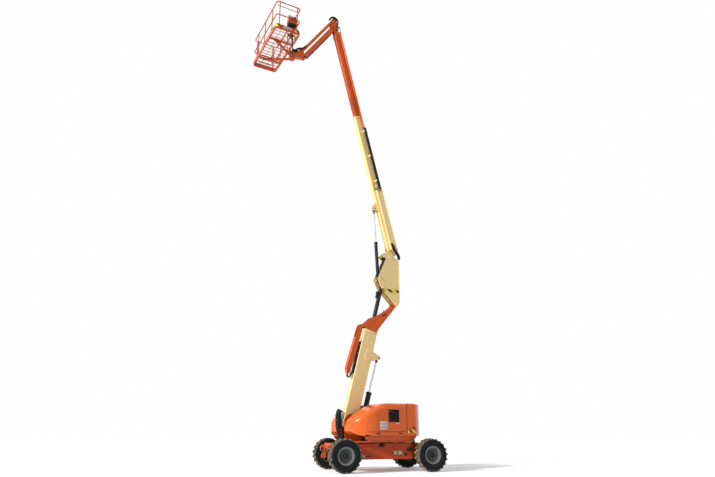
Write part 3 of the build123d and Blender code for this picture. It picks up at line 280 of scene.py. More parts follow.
@cache
def tread() -> Tree:
    """Make the group for dry earth on a tread's lugs, from a point's distance to the nearest axle."""
    graph, given, result = begin("tread", {"Place": "Vector"}, {"Earth": "Float"})
    split = graph.split(given["Place"])
    along = graph.math("SUBTRACT", graph.math("ABSOLUTE", split["X"]), AXLE_X)
    above = graph.math("SUBTRACT", split["Z"], AXLE_Z)
    squares = graph.math("ADD", graph.math("MULTIPLY", along, along), graph.math("MULTIPLY", above, above))
    reach = graph.math("SUBTRACT", graph.math("SQRT", squares), LUG_ROOT)
    tip = graph.math("MULTIPLY", reach, 22.0, True)
    rough = graph.math("SUBTRACT", graph.noise(given["Place"], 14.0, 5.0), 0.34)
    rough = graph.math("MULTIPLY", rough, 3.4, True)
    graph.feed(result.inputs["Earth"], graph.math("MULTIPLY", tip, rough, True))
    return graph.tree


# ---------------------------------------------------------------- finishes
@dataclass(frozen=True)
class Finish:
    """A painted, moulded or plated surface."""

    name: str
    colour: Point
    gloss: float = 0.42
    metallic: float = 0.0
    coat: float = 0.0
    shine: float = 0.5
    grime: float = 0.15
    dust: float = 0.2
    bump: float = 0.04

    def material(self) -> bpy.types.Material:
        """Give the finish's material, made once."""
        return bpy.data.materials.get(self.name) or self.make()

    def make(self) -> bpy.types.Material:
        """Make the material: weathered colour and roughness on object coordinates."""
        material = bpy.data.materials.new(self.name)
        material.use_nodes = True
        graph = Graph(material.node_tree)
        place = graph.add("TexCoord").outputs["Object"]
        wear = graph.group(weathering(), {
            "Place": place, "Paint": self.colour, "Grime": self.grime, "Dust": self.dust,
            "Gloss": self.gloss}).outputs
        bump = graph.add("Bump", {"Strength": self.bump, "Distance": 0.002, "Height": wear["Height"]})
        graph.fill(graph.tree.nodes["Principled BSDF"], {
            "Base Color": self.colouring(graph, place, wear["Paint"]), "Roughness": wear["Roughness"],
            "Metallic": self.metallic, "Coat Weight": self.coat, "Coat Roughness": 0.12,
            "Specular IOR Level": self.shine, "Normal": bump.outputs["Normal"]})
        return material

    def colouring(self, graph: Graph, place: Socket, paint: Socket) -> Socket:
        """Give the colour that the shader gets; a plain finish leaves it as it is."""
        return paint


@dataclass(frozen=True)
class TreadFinish(Finish):
    """Tyre rubber whose lugs carry dry earth."""

    earth: Point = (0.3, 0.235, 0.16)

    def colouring(self, graph: Graph, place: Socket, paint: Socket) -> Socket:
        """Lay earth over the rubber where the lugs reach out."""
        return graph.blend(graph.group(tread(), {"Place": place}).outputs["Earth"], paint, self.earth)


@dataclass(frozen=True)
class WarningFinish(Finish):
    """Black and yellow warning tape."""

    pitch: float = 0.12

    def colouring(self, graph: Graph, place: Socket, paint: Socket) -> Socket:
        """Lay the stripes, with a little of the grime kept."""
        tape = graph.group(stripes(), {"Pitch": self.pitch, "Place": place})
        return graph.blend(0.04, tape.outputs["Stripe"], paint)


ORANGE = Finish("hood_orange", (0.65, 0.106, 0.008), gloss=0.24, coat=0.25, shine=0.25, grime=0.05, dust=0.05)
# A darker copy of the hood orange: painted shade for the turntable's skirt under the hoods and for the hood's
# crease line.
SHADED_ORANGE = Finish(
    "shaded_orange", (0.56, 0.08, 0.008), gloss=0.3, coat=0.2, shine=0.25, grime=0.06, dust=0.05)
BOOM_ORANGE = Finish(
    "boom_orange", (0.62, 0.095, 0.009), gloss=0.34, coat=0.1, shine=0.25, grime=0.08, dust=0.0)
RAIL_ORANGE = Finish(
    "rail_orange", (0.5, 0.064, 0.008), gloss=0.4, coat=0.05, shine=0.25, grime=0.08, dust=0.0)
FRAME_ORANGE = Finish(
    "frame_orange", (0.46, 0.054, 0.005), gloss=0.36, coat=0.05, shine=0.2, grime=0.12, dust=0.06)
CREAM = Finish(
    "boom_cream", (0.84, 0.61, 0.27), gloss=0.34, coat=0.1, shine=0.35, grime=0.03, dust=0.0, bump=0.01)
BLACK_PAINT = Finish(
    "black_enamel", (0.008, 0.011, 0.014), gloss=0.3, coat=0.05, shine=0.2, grime=0.03, dust=0.04)
BLACK_PLASTIC = Finish("moulded_black", (0.008, 0.01, 0.012), gloss=0.5, shine=0.25, grime=0.03, dust=0.04)
HOSE_RUBBER = Finish("hose_rubber", (0.008, 0.01, 0.012), gloss=0.46, shine=0.25, grime=0.05, dust=0.04)
TYRE_RUBBER = TreadFinish(
    "tread_rubber", (0.006, 0.009, 0.01), gloss=0.66, shine=0.12, grime=0.02, dust=0.02, bump=0.3)
RIM_PAINT = Finish("rim_grey", (0.12, 0.13, 0.13), gloss=0.42, shine=0.3, grime=0.15, dust=0.1)
HUB_PAINT = Finish("hub_black", (0.006, 0.009, 0.01), gloss=0.36, shine=0.2, grime=0.05, dust=0.04)
CHROME = Finish("hard_chrome", (0.62, 0.63, 0.65), gloss=0.14, metallic=1.0, grime=0.03, dust=0.0, bump=0.0)
STEEL = Finish("zinc_steel", (0.45, 0.45, 0.44), gloss=0.35, metallic=0.9, grime=0.2, dust=0.2)
PLATE_GREY = Finish("blank_plate", (0.46, 0.44, 0.4), gloss=0.45, grime=0.15, dust=0.1)
YELLOW = Finish("yellow_mark", (0.86, 0.55, 0.02), gloss=0.45, grime=0.15, dust=0.1)
BRASS = Finish("brass_fitting", (0.6, 0.36, 0.1), gloss=0.35, metallic=0.8, grime=0.3, dust=0.0)
LAMP_RED = Finish("red_button", (0.55, 0.02, 0.015), gloss=0.3, grime=0.05, dust=0.0)
TAPE = WarningFinish("warning_tape", (0.02, 0.02, 0.02), gloss=0.4, grime=0.05, dust=0.05, pitch=0.22)
BROAD_TAPE = WarningFinish(
    "broad_warning_tape", (0.02, 0.02, 0.02), gloss=0.4, grime=0.05, dust=0.0, pitch=0.32)
FLOOR_STEEL = Finish("floor_mesh", (0.6, 0.3, 0.16), gloss=0.5, grime=0.3, dust=0.0)


# ---------------------------------------------------------------- making
class Shop:
    """One piece while it is being made: a mesh that grows by operators, then is finished and mounted."""

    def __init__(self, name: str, body: str, finish: Finish, slot: str) -> None:
        """Start a piece.

        Args:
            name: The piece's name.
            body: The moving body that it rides on.
            finish: Its surface.
            slot: The record's material slot that it goes with; it is kept but not used.
        """
        self.name = name
        self.body = body
        self.finish = finish
        self.slot = slot
        self.mesh = bmesh.new()

    def move(self, place: Matrix, verts: Iterable[Vert]) -> "Shop":
        """Carry a fresh shape to its place, and give the piece back."""
        bmesh.ops.transform(self.mesh, matrix=place, verts=list(verts))
        return self

    def ease(self, edges: Iterable[bmesh.types.BMEdge], offset: float, segments: int) -> list[Vert]:
        """Bevel edges, and give the corners that this makes."""
        return bmesh.ops.bevel(
            self.mesh, geom=list(edges), offset=offset, offset_type="OFFSET", segments=segments, profile=0.5,
            affect="EDGES", material=-1)["verts"]

    def right(self, verts: Iterable[Vert]) -> None:
        """Turn a fresh shape's faces outward."""
        bmesh.ops.recalc_face_normals(
            self.mesh, faces=list({face for vert in verts for face in vert.link_faces}))

    def cone(self, place: Matrix, low: float, high: float, depth: float, segments: int) -> list[
            Vert]:
        """Add a capped cone of two radii about a place's Z, and give its corners."""
        made = bmesh.ops.create_cone(
            self.mesh, cap_ends=True, segments=segments, radius1=low, radius2=high, depth=depth)["verts"]
        self.move(place, made)
        return made

    def block(self, place: Matrix, size: Point, bevel: float = 0.003) -> "Shop":
        """Add a block with eased edges, centred on a place.

        Args:
            place: The frame that the block sits in.
            size: Its length, width and height.
            bevel: How far the edges are eased.

        Returns:
            The same piece.
        """
        made = bmesh.ops.create_cube(self.mesh, size=1.0)["verts"]
        bmesh.ops.scale(self.mesh, vec=size, verts=made)
        if bevel:
            made = self.ease({edge for vert in made for edge in vert.link_edges}, bevel, 2)
        return self.move(place, made)

    def blocks(self, frame_of: Callable[..., Matrix], *rows: tuple) -> "Shop":
        """Add several blocks: each row is a point, a size and an easing, and a function gives its frame."""
        for point, size, bevel in rows:
            self.block(frame_of(*point), size, bevel)
        return self

    def turned(self, place: Matrix, outline: tuple[Pair, ...], count: int = 32) -> "Shop":
        """Add a turned shape, spun about the place's own Z.

        Args:
            place: The frame that the shape stands in.
            outline: Pairs of radius and height, from one end to the other.
            count: How many steps the turn has.

        Returns:
            The same piece.
        """
        self.settle()
        points = [self.mesh.verts.new((radius, 0.0, height)) for radius, height in outline]
        edges = [self.mesh.edges.new(pair) for pair in zip(points, points[1:])]
        bmesh.ops.spin(
            self.mesh, geom=points + edges, axis=(0, 0, 1), cent=(0, 0, 0), angle=2 * pi, steps=count,
            use_merge=True)
        found = [vert for vert in self.mesh.verts if not vert.tag]
        bmesh.ops.remove_doubles(self.mesh, verts=found, dist=1e-6)
        fresh = [vert for vert in self.mesh.verts if not vert.tag]
        self.right(fresh)
        self.move(place, fresh)
        self.settle()
        return self

    def settle(self) -> None:
        """Mark all that is made so far, so that the next shape is told apart from it."""
        for vert in self.mesh.verts:
            vert.tag = True

    def rod(
            self, start: Vector, end: Vector, radius: float, segments: int = 16,
            bevel: float = 0.0) -> "Shop":
        """Add a straight round rod from one point to another.

        Args:
            start: The middle of one end.
            end: The middle of the other end.
            radius: The rod's radius.
            segments: How many sides it has.
            bevel: How far its end edges are eased.

        Returns:
            The same piece.
        """
        line = end - start
        made = self.cone(Matrix.Identity(4), radius, radius, line.length, segments)
        if bevel:
            rims = [edge for edge in {edge for vert in made for edge in vert.link_edges}
                    if abs(edge.verts[0].co.z - edge.verts[1].co.z) < 1e-6]
            made = [vert for vert in {*made, *self.ease(rims, bevel, 1)} if vert.is_valid]
        turn = line.to_track_quat("Z", "Y").to_matrix().to_4x4()
        return self.move(Matrix.Translation((start + end) / 2) @ turn, made)

    def rods(self, point_of: Placer, *rows: tuple) -> "Shop":
        """Add several rods: each row is two points, a radius and a count of sides."""
        for start, end, radius, segments in rows:
            self.rod(point_of(*start), point_of(*end), radius, segments)
        return self

    def band(self, start: Vector, end: Vector, inner: float, outer: float, count: int = 32) -> "Shop":
        """Add a hollow ring with eased edges between two points.

        Args:
            start: The middle of one end.
            end: The middle of the other end.
            inner: The ring's inner radius.
            outer: Its outer radius.
            count: How many steps the turn has.

        Returns:
            The same piece.
        """
        line, ease = end - start, (outer - inner) * 0.4
        place = Matrix.Translation(start) @ line.to_track_quat("Z", "Y").to_matrix().to_4x4()
        return self.turned(place, (
            (inner, 0.0), (outer - ease, 0.0), (outer, ease), (outer, line.length - ease),
            (outer - ease, line.length), (inner, line.length), (inner, 0.0)), count)

    def bolt(self, place: Matrix, radius: float = 0.012, height: float = 0.008) -> "Shop":
        """Add a hexagon head with its washer, standing up the place's own Z."""
        self.cone(place @ shift(0, 0, height * 0.6), radius, radius * 0.94, height, 6)
        self.cone(place @ shift(0, 0, height * 0.1), radius * 1.35, radius * 1.3, height * 0.3, 14)
        return self

    def bolts(self, radius: float, height: float, places: Iterable[Matrix]) -> "Shop":
        """Add several bolts of one size."""
        for place in places:
            self.bolt(place, radius, height)
        return self

    def sheet(self, place: Matrix, corners: tuple[Pair, ...], thickness: float) -> "Shop":
        """Add a flat plate of any outline, given in the place's own X and Z, grown along Y.

        Args:
            place: The frame that the outline lies in.
            corners: The outline's corners.
            thickness: How thick the plate is, half on each side.

        Returns:
            The same piece.
        """
        points = [self.mesh.verts.new((x, -thickness / 2, z)) for x, z in corners]
        grown = bmesh.ops.extrude_face_region(self.mesh, geom=[self.mesh.faces.new(points)])["geom"]
        fresh = [item for item in grown if isinstance(item, Vert)]
        bmesh.ops.translate(self.mesh, vec=(0, thickness, 0), verts=fresh)
        self.right(fresh + points)
        return self.move(place, fresh + points)

    def hoses(
            self, radius: float, point_of: Placer, routes: Iterable[tuple[Point,
            ...]]) -> "Shop":
        """Add hoses of one size, each a smooth tube along its route.

        Args:
            radius: The hoses' radius.
            point_of: The function that places a route's points.
            routes: Each hose's points.

        Returns:
            The same piece.
        """
        curve = bpy.data.curves.new(self.name, "CURVE")
        curve.dimensions = "3D"
        curve.bevel_depth = radius
        curve.bevel_resolution = 2
        curve.use_fill_caps = True
        for route in routes:
            spline = curve.splines.new("NURBS")
            spline.points.add(len(route) - 1)
            for slot, point in zip(spline.points, route):
                slot.co = (*point_of(*point), 1.0)
            spline.order_u = 3
            spline.use_endpoint_u = True
            spline.resolution_u = 5
        holder = bpy.data.objects.new(self.name + "_line", curve)
        bpy.context.scene.collection.objects.link(holder)
        bpy.context.view_layer.update()
        tubes = bpy.data.meshes.new_from_object(holder.evaluated_get(bpy.context.evaluated_depsgraph_get()))
        self.mesh.from_mesh(tubes)
        for store, item in ((bpy.data.objects, holder), (bpy.data.curves, curve), (bpy.data.meshes, tubes)):
            store.remove(item)
        return self

    def done(self, smooth: float = 35.0) -> None:
        """Turn the mesh into an object with its finish, mounted on its body.

        Args:
            smooth: The angle, in degrees, up to which neighbouring faces shade as one surface.
        """
        data = bpy.data.meshes.new(self.name)
        self.mesh.to_mesh(data)
        self.mesh.free()
        data.materials.append(self.finish.material())
        data.shade_smooth()
        data.set_sharp_from_angle(angle=radians(smooth))
        piece = bpy.data.objects.new(self.name, data)
        bpy.context.scene.collection.objects.link(piece)
        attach(piece, self.body)
        LOG.info("%s rides on %s with %d faces", self.name, self.body, len(data.polygons))


def boss(radius: float, middle: float, shares: Pair, shoulder: float, edge: float | None = None,
         foot: float = -0.002) -> tuple[Pair, ...]:
    """Give the outline of a boss or a cap.

    Args:
        radius: Its outer radius.
        middle: How far its middle stands out.
        shares: The shares of the radius where the middle ends and the shoulder starts.
        shoulder: How far the shoulder stands out where it starts.
        edge: How far it stands out at the rim, if not as far as at its start.
        foot: Where its rim ends.

    Returns:
        Pairs of radius and height.
    """
    inner, outer = shares
    return ((0.0, middle), (radius * inner, middle), (radius * outer, shoulder),
            (radius, shoulder if edge is None else edge), (radius, foot), (0.0, foot))


def hose_run(name: str, body: str, slot: str, radius: float, point_of: Placer,
             routes: Iterable[tuple[Point, ...]], finish: Finish = HOSE_RUBBER) -> None:
    """Make a piece of hoses of one size that run together on one body."""
    Shop(name, body, finish, slot).hoses(radius, point_of, routes).done(60.0)


def dress(finish: Finish, *nodes: str) -> None:
    """Give CAD nodes a finish."""
    for node in nodes:
        solid = frame["nodes"][node]
        solid.data.materials.clear()
        solid.data.materials.append(finish.material())
        LOG.info("%s gets %s", node, finish.name)


def dress_nodes() -> None:
    """Give every solid its finish."""
    dress(ORANGE, "hood_near", "hood_far", "counterweight")
    dress(FRAME_ORANGE, "chassis_frame")
    dress(ORANGE, "tie_down_lugs")
    # The turntable's skirt gets the darker orange: painted shade under the hoods.
    dress(SHADED_ORANGE, "turntable_base")
    dress(BOOM_ORANGE, "tower_fly", "hose_channel", "main_fly", "push_tube", "jib_tube", "jib_link",
          "head_knuckle", "jib_head")
    dress(RAIL_ORANGE, "top_rail", "middle_rail", "rail_posts", "platform_support", "platform_gate",
          "platform_floor")
    dress(CREAM, "lower_boom", "upright", "main_boom_base")
    dress(BLACK_PAINT, "fixed_axle", "steer_axle", "knuckle_near", "knuckle_far", "slew_ring", "engine_block",
          "tower_cylinder_barrel", "level_cylinder_barrel", "main_cylinder_barrel")
    dress(BLACK_PLASTIC, "grille_near", "grille_far", "tower_track", "main_power_track", "hose_guard",
          "console")
    dress(CHROME, "tower_cylinder_rod", "level_cylinder_rod", "main_cylinder_rod")
    for wheel in ("front_near", "front_far", "rear_near", "rear_far"):
        dress(TYRE_RUBBER, "tyre_" + wheel)
        dress(RIM_PAINT, "rim_" + wheel)


# ---------------------------------------------------------------- carrier and wheels
@dataclass(frozen=True)
class Wheel:
    """The hub, nuts and sidewall rings of one wheel."""

    name: str
    end: int
    side: int
    face: Matrix
    nut_circle: float = 0.138
    cap_circle: float = 0.08

    def build(self) -> None:
        """Make the wheel's dressing."""
        body = "wheel_" + self.name
        middle = shift(self.end * AXLE_X, self.side * WHEEL_Y, AXLE_Z) @ self.face
        Shop("hub_" + self.name, body, HUB_PAINT, "rim_paint").turned(middle, (
            (0.0, 0.128), (0.045, 0.128), (0.058, 0.118), (0.062, 0.102), (0.1, 0.098), (0.112, 0.086),
            (0.124, 0.052), (0.152, 0.046), (0.156, 0.038), (0.0, 0.036)), 40).done()
        nuts = Shop("nuts_" + self.name, body, HUB_PAINT, "rim_paint")
        nuts.bolts(0.011, 0.016, (middle @ turn @ shift(self.nut_circle, 0, 0.047) for turn in around(9)))
        nuts.bolts(0.007, 0.008, (middle @ turn @ shift(self.cap_circle, 0, 0.098) for turn in around(6)))
        nuts.done()
        rings = Shop("rings_" + self.name, body, TYRE_RUBBER, "tyre_rubber")
        for radius, height in ((0.262, 0.161), (0.3, 0.177), (0.335, 0.185), (0.392, 0.183)):
            rings.turned(middle, tuple((radius + 0.006 * cos(a), height + 0.004 * sin(a)) for a in (
                0.0, pi / 3, 2 * pi / 3, pi, -2 * pi / 3, -pi / 3, 0.0)), 48)
        rings.done(60.0)
        Shop("valve_" + self.name, body, BRASS, "rim_paint").turned(middle @ shift(0.188, 0, 0.07), (
            (0.0, 0.0), (0.006, 0.0), (0.006, 0.024), (0.004, 0.034), (0.0, 0.034)), 10).done()


@dataclass(frozen=True)
class Carrier:
    """What dresses the carrier's frame: box, plates, eyes, hoses and axle clamps."""

    flank: float = 0.8215
    lug: float = 0.445
    pad: float = 0.38
    slew_circle: float = 0.56

    def build(self) -> None:
        """Make the carrier's dressing."""
        self.sides()
        self.ends()
        self.axles()

    def sides(self) -> None:
        """Fit the control boxes, the blank plates and the edge bars on the long sides."""
        Shop("side_box", "chassis", BLACK_PLASTIC, "black_paint").blocks(
            shift,
            ((-0.14, -0.84, 0.76), (0.165, 0.044, 0.1), 0.012),
            ((-0.14, -0.866, 0.76), (0.12, 0.014, 0.06), 0.006),
            ((0.76, -0.845, 0.63), (0.15, 0.046, 0.085), 0.012),
            ((0.8, -0.85, 0.69), (0.06, 0.03, 0.05), 0.008),
            ((0.96, -0.64, 0.82), (0.11, 0.06, 0.06), 0.014)).done()
        Shop("side_plates", "chassis", PLATE_GREY, "black_paint").blocks(
            shift,
            ((0.3, -self.flank, 0.545), (0.085, 0.004, 0.105), 0.0015),
            ((0.45, -self.flank, 0.545), (0.135, 0.004, 0.105), 0.0015),
            ((-0.72, -self.flank, 0.45), (0.08, 0.004, 0.05), 0.0015)).done()
        Shop("side_dial", "chassis", HUB_PAINT, "black_paint").turned(
            shift(0.64, -0.82, 0.49) @ Facing.TOWARD_NEAR.value,
            ((0.0, 0.012), (0.04, 0.012), (0.048, 0.004), (0.048, 0.0)), 24).done()
        Shop("lift_point_mark", "chassis", BLACK_PLASTIC, "black_paint").sheet(shift(-0.56, -0.822, 0.45), (
            (-0.07, -0.012), (0.01, -0.012), (0.01, -0.034), (0.062, 0.0), (0.01, 0.034), (0.01, 0.012),
            (-0.07, 0.012)), 0.004).done()
        bars = Shop("frame_edges", "chassis", FRAME_ORANGE, "orange_paint")
        for side in (-1, 1):
            bars.blocks(
                shift,
                ((0.0, side * 0.823, 0.806), (1.68, 0.012, 0.014), 0.003),
                ((0.0, side * 0.823, 0.367), (1.68, 0.012, 0.014), 0.003),
                ((-0.42, side * self.flank, 0.585), (0.01, 0.006, 0.42), 0.002),
                ((0.21, side * self.flank, 0.585), (0.01, 0.006, 0.42), 0.002))
        bars.done()

    def ends(self) -> None:
        """Ring the lashing eyes, and fit the bolts and hoses of the carrier's ends."""
        eyes = Shop("eye_rings", "chassis", RAIL_ORANGE, "orange_paint")
        for y in (side * self.lug + out for side in (-1, 1) for out in (-0.0155, 0.0155)):
            eyes.turned(shift(-1.69, y, 0.64) @ Facing.ACROSS.value, (
                (0.05, -0.004), (0.056, -0.009), (0.064, -0.009), (0.07, -0.004), (0.07, 0.004),
                (0.064, 0.009), (0.056, 0.009), (0.05, 0.004), (0.05, -0.004)))
        eyes.done()
        bolts = Shop("frame_bolts", "chassis", STEEL, "black_paint").bolts(0.012, 0.01, (
            shift(-1.61, side * 0.4605, z) @ face for side, face in SIDES for z in (0.44, 0.52, 0.7)))
        bolts.bolts(0.01, 0.012, (turn @ shift(self.slew_circle, 0.0, 0.8125) for turn in around(28))).done()
        hose_run("axle_hoses", "chassis", "black_paint", 0.011, plain, (
            ((-1.1, y, 0.78), (-1.24, y, 0.7), (-1.34, y + 0.03, low + 0.1), (-1.4, y + 0.08, low))
            for y, low in zip((-0.2, -0.12, 0.06, 0.14), steps(0.62, -0.04, 4))))

    def axles(self) -> None:
        """Fit the clamps that hold the fixed axle to its pads, and the plugs of its housing."""
        clamps = Shop("axle_clamps", "chassis", BLACK_PAINT, "black_paint")
        for y in (-self.pad, self.pad):
            clamps.rods(plain, *(((x, y, 0.42), (x, y, 0.655), 0.011, 10) for x in (-1.44, -1.3)))
            clamps.block(shift(-AXLE_X, y, 0.412), (0.19, 0.08, 0.02), 0.004)
        clamps.done()
        Shop("axle_plugs", "chassis", STEEL, "black_paint").bolts(0.008, 0.01, (
            shift(-AXLE_X, 0.18, AXLE_Z) @ turn @ shift(0.0, 0.0, 0.1585) for turn in around(10, "Y"))).done()


# ---------------------------------------------------------------- turntable
@dataclass(frozen=True)
class Turntable:
    """Hood trim, counterweight trim, the guard's hoses and what shows behind the grilles."""

    outer: float = 1.12
    bow_start: float = -0.66
    nose: float = -1.37
    nose_half: float = 0.45
    plate_face: float = 1.1215
    weight_face: float = 1.1212
    cheek: float = 0.158
    skirt: float = 1.03

    def build(self) -> None:
        """Make the turntable's dressing."""
        for name, (side, face) in zip(("near", "far"), SIDES):
            self.hood(name, side)
            self.engine(name, side, face)
            self.weight(name, side)
        self.weight_bolts()
        self.guard()
        self.base()

    def hood(self, name: str, side: int) -> None:
        """Fit one hood's blank plates, latches, seam strips and lip."""
        body = "hood_" + name
        Shop("hood_plates_" + name, body, PLATE_GREY, "orange_paint").blocks(spot, *(
            ((u, side * self.plate_face, z), (wide, 0.004, high), 0.0015) for u, z, wide, high in (
                (-0.42, 1.412, 0.272, 0.07), (-0.42, 1.325, 0.272, 0.078), (-0.42, 1.24, 0.272, 0.06),
                (0.09, 1.385, 0.12, 0.03)))).done()
        trim = Shop("hood_seams_" + name, body, BLACK_PLASTIC, "black_plastic").blocks(
            spot,
            ((0.4005, side * 1.1195, 1.52), (0.008, 0.006, 0.86), 0.0),
            ((-0.33, side * 1.1205, 1.148), (1.42, 0.004, 0.006), 0.0))
        for u in (-0.62, 0.16):
            trim.blocks(
                spot,
                ((u, side * 1.123, 1.1), (0.11, 0.01, 0.034), 0.004),
                ((u, side * 1.13, 1.1), (0.052, 0.01, 0.018), 0.003))
        trim.done()
        # The crease tube is in the darker orange: a painted shade line along the crease.
        hose_run("hood_crease_" + name, body, "orange_paint", 0.007, upper, [tuple(
            (u, side * self.flank(u), z) for u, z in (
                (0.395, 1.168), (-0.2, 1.168), (-0.6, 1.168), (-0.86, 1.172), (-0.955, 1.195), (-1.0, 1.28),
                (-0.965, 1.4), (-0.86, 1.505), (-0.66, 1.61), (-0.42, 1.69), (-0.17, 1.745)))],
            SHADED_ORANGE)
        Shop("hood_lip_" + name, body, FRAME_ORANGE, "orange_paint").block(
            spot(-0.3, side * 1.117, 1.031), (1.36, 0.01, 0.01)).done()

    def flank(self, u: float) -> float:
        """Give how far out the hood's flank lies at a place along it, where it bows in toward the nose."""
        if u > self.bow_start:
            return self.outer
        reach, depth = self.nose - self.bow_start, self.outer - self.nose_half
        radius = (reach * reach + depth * depth) / (2.0 * depth)
        return self.outer - radius + sqrt(radius * radius - (u - self.bow_start) ** 2)

    def engine(self, name: str, side: int, face: Matrix) -> None:
        """Show a fan, a filter, hoses and fittings behind the grille."""
        cave = Shop("engine_bay_" + name, "turntable", BLACK_PLASTIC, "black_paint")
        cave.block(spot(-0.065, side * 0.94, 1.61), (0.46, 0.02, 0.42), 0.0)
        for turn in around(7, "Y"):
            blade = turn @ shift(0.0, 0.0, 0.07) @ Matrix.Rotation(0.6, 4, "Z")
            cave.block(spot(-0.02, side * 0.972, 1.565) @ blade, (0.046, 0.004, 0.1), 0.001)
        cave.done()
        bits = Shop("engine_bits_" + name, "turntable", BRASS, "black_paint")
        bits.turned(spot(-0.02, side * 0.955, 1.565) @ face, (
            (0.122, 0.0), (0.132, 0.0), (0.132, 0.03), (0.122, 0.03), (0.122, 0.0)), 28)
        bits.rods(upper, *(
            ((u, side * 0.95, z), (u, side * 1.0, z), radius, 12) for u, z, radius in (
                (0.075, 1.505, 0.022), (0.03, 1.7, 0.018), (-0.15, 1.48, 0.02), (0.085, 1.64, 0.014)))).done()
        Shop("engine_caps_" + name, "turntable", LAMP_RED, "black_paint").rods(
            upper,
            ((-0.175, side * 0.95, 1.585), (-0.175, side * 1.005, 1.585), 0.03, 16),
            ((-0.11, side * 0.95, 1.735), (-0.11, side * 0.985, 1.735), 0.016, 12)).done()
        hose_run("engine_hoses_" + name, "turntable", "black_paint", 0.012, upper, (
            ((-0.22, side * 0.96, 1.45 + 0.05 * k), (-0.12, side * 1.02, 1.5 + 0.06 * k),
             (0.02, side * 1.01, 1.47 + 0.07 * k), (0.11, side * 0.95, 1.52 + 0.06 * k)) for k in range(4)))

    def weight(self, name: str, side: int) -> None:
        """Lay the warning stripes and the caution mark on one half of the counterweight."""
        Shop("warning_tape_" + name, "turntable", TAPE, "ballast").block(
            spot(0.582, side * self.weight_face, 1.16), (0.3, 0.0035, 0.088), 0.0).done()
        Shop("caution_mark_" + name, "turntable", BLACK_PLASTIC, "ballast").sheet(
            spot(0.65, side * self.weight_face, 1.27),
            ((-0.05, -0.04), (0.05, -0.04), (0.03, 0.02), (0.0, 0.05), (-0.02, 0.01)), 0.003).done()

    def weight_bolts(self) -> None:
        """Fit the counterweight's lifting points and end bolts."""
        bolts = Shop("counterweight_bolts", "turntable", STEEL, "ballast")
        for side in (-1, 1):
            bolts.bolts(
                0.024, 0.018, (spot(u, side * v, 1.9855) for u, v in ((0.62, 0.44), (0.62, 0.86),
                (1.02, 0.4))))
            bolts.bolts(0.02, 0.016, (spot(1.262, side * 0.36, z) @ Facing.ALONG.value for z in (1.24, 1.6)))
        bolts.done()

    def guard(self) -> None:
        """Bundle the hoses up the front of the tower boom's foot, held by clamps."""
        routes = []
        for index, v in enumerate(steps(-0.09, 0.03, 7)):
            out = 0.012 * (index % 2)
            routes.append((
                (-1.33, v, 0.935), (-1.392 - out, v, 1.1), (-1.446 - out, v, 1.29), (-1.448 - out, v, 1.66),
                (-1.42 - out, v, 1.77), (-1.35, v, 1.79 + 0.01 * index), (-1.3, v * 0.9, 1.74)))
        hose_run("foot_hoses", "turntable", "black_plastic", 0.013, upper, routes)
        clamps = Shop("foot_clamps", "turntable", BLACK_PAINT, "black_plastic")
        for z in (1.32, 1.48, 1.64):
            clamps.blocks(
                spot,
                ((-1.47, 0.0, z), (0.012, 0.225, 0.03), 0.003),
                ((-1.45, -0.104, z), (0.05, 0.01, 0.03), 0.002),
                ((-1.45, 0.104, z), (0.05, 0.01, 0.03), 0.002))
        clamps.done()
        Shop("foot_marks", "turntable", YELLOW, "black_plastic").blocks(spot, *(
            ((-1.34 - 0.016 * index, -0.1115, z), (0.03, 0.003, 0.018), 0.0)
            for index, z in enumerate((1.04, 1.12, 1.2)))).done()

    def base(self) -> None:
        """Fit the pivot pins' caps, the skirts' noses and bolts, and the swing motor."""
        caps = Shop("pivot_caps", "turntable", BLACK_PAINT, "orange_paint")
        # The skirt noses and bolts are in the darker orange: painted shade under the hoods.
        noses = Shop("skirt_noses", "turntable", SHADED_ORANGE, "orange_paint")
        bolts = Shop("skirt_bolts", "turntable", SHADED_ORANGE, "orange_paint")
        for side, face in SIDES:
            for u, z, radius in ((-1.04, 1.43, 0.06), (-0.67, 1.03, 0.048)):
                place = spot(u, side * self.cheek, z) @ face
                caps.turned(place, boss(radius, 0.02, (0.6, 0.75), 0.014, 0.012, 0.0), 24)
                for turn in (0.6, 3.74):
                    caps.bolt(place @ Matrix.Rotation(turn, 4, "Z") @ shift(radius * 0.7, 0, 0.012), 0.008)
            noses.sheet(spot(0.0, side * self.skirt, 0.0), (
                (-0.915, 0.88), (-0.915, 1.02), (-1.06, 1.02), (-1.0, 0.93)), 0.012)
            bolts.bolts(0.01, 0.01, (spot(u, side * 1.04, 0.955) @ face for u in steps(-0.8, 0.22, 6)))
        for piece in (caps, noses, bolts):
            piece.done()
        Shop("swing_motor", "turntable", BLACK_PAINT, "orange_paint").turned(spot(0.05, -0.24, 0.876), (
            (0.0, 0.0), (0.062, 0.0), (0.062, 0.1), (0.05, 0.115), (0.05, 0.2), (0.0, 0.204)), 24).done()


# ---------------------------------------------------------------- booms
def stud(height: float) -> tuple[Pair, ...]:
    """Give the outline of a track link's stud."""
    return (0.0, height), (0.013, height), (0.016, 0.0), (0.016, -0.004)


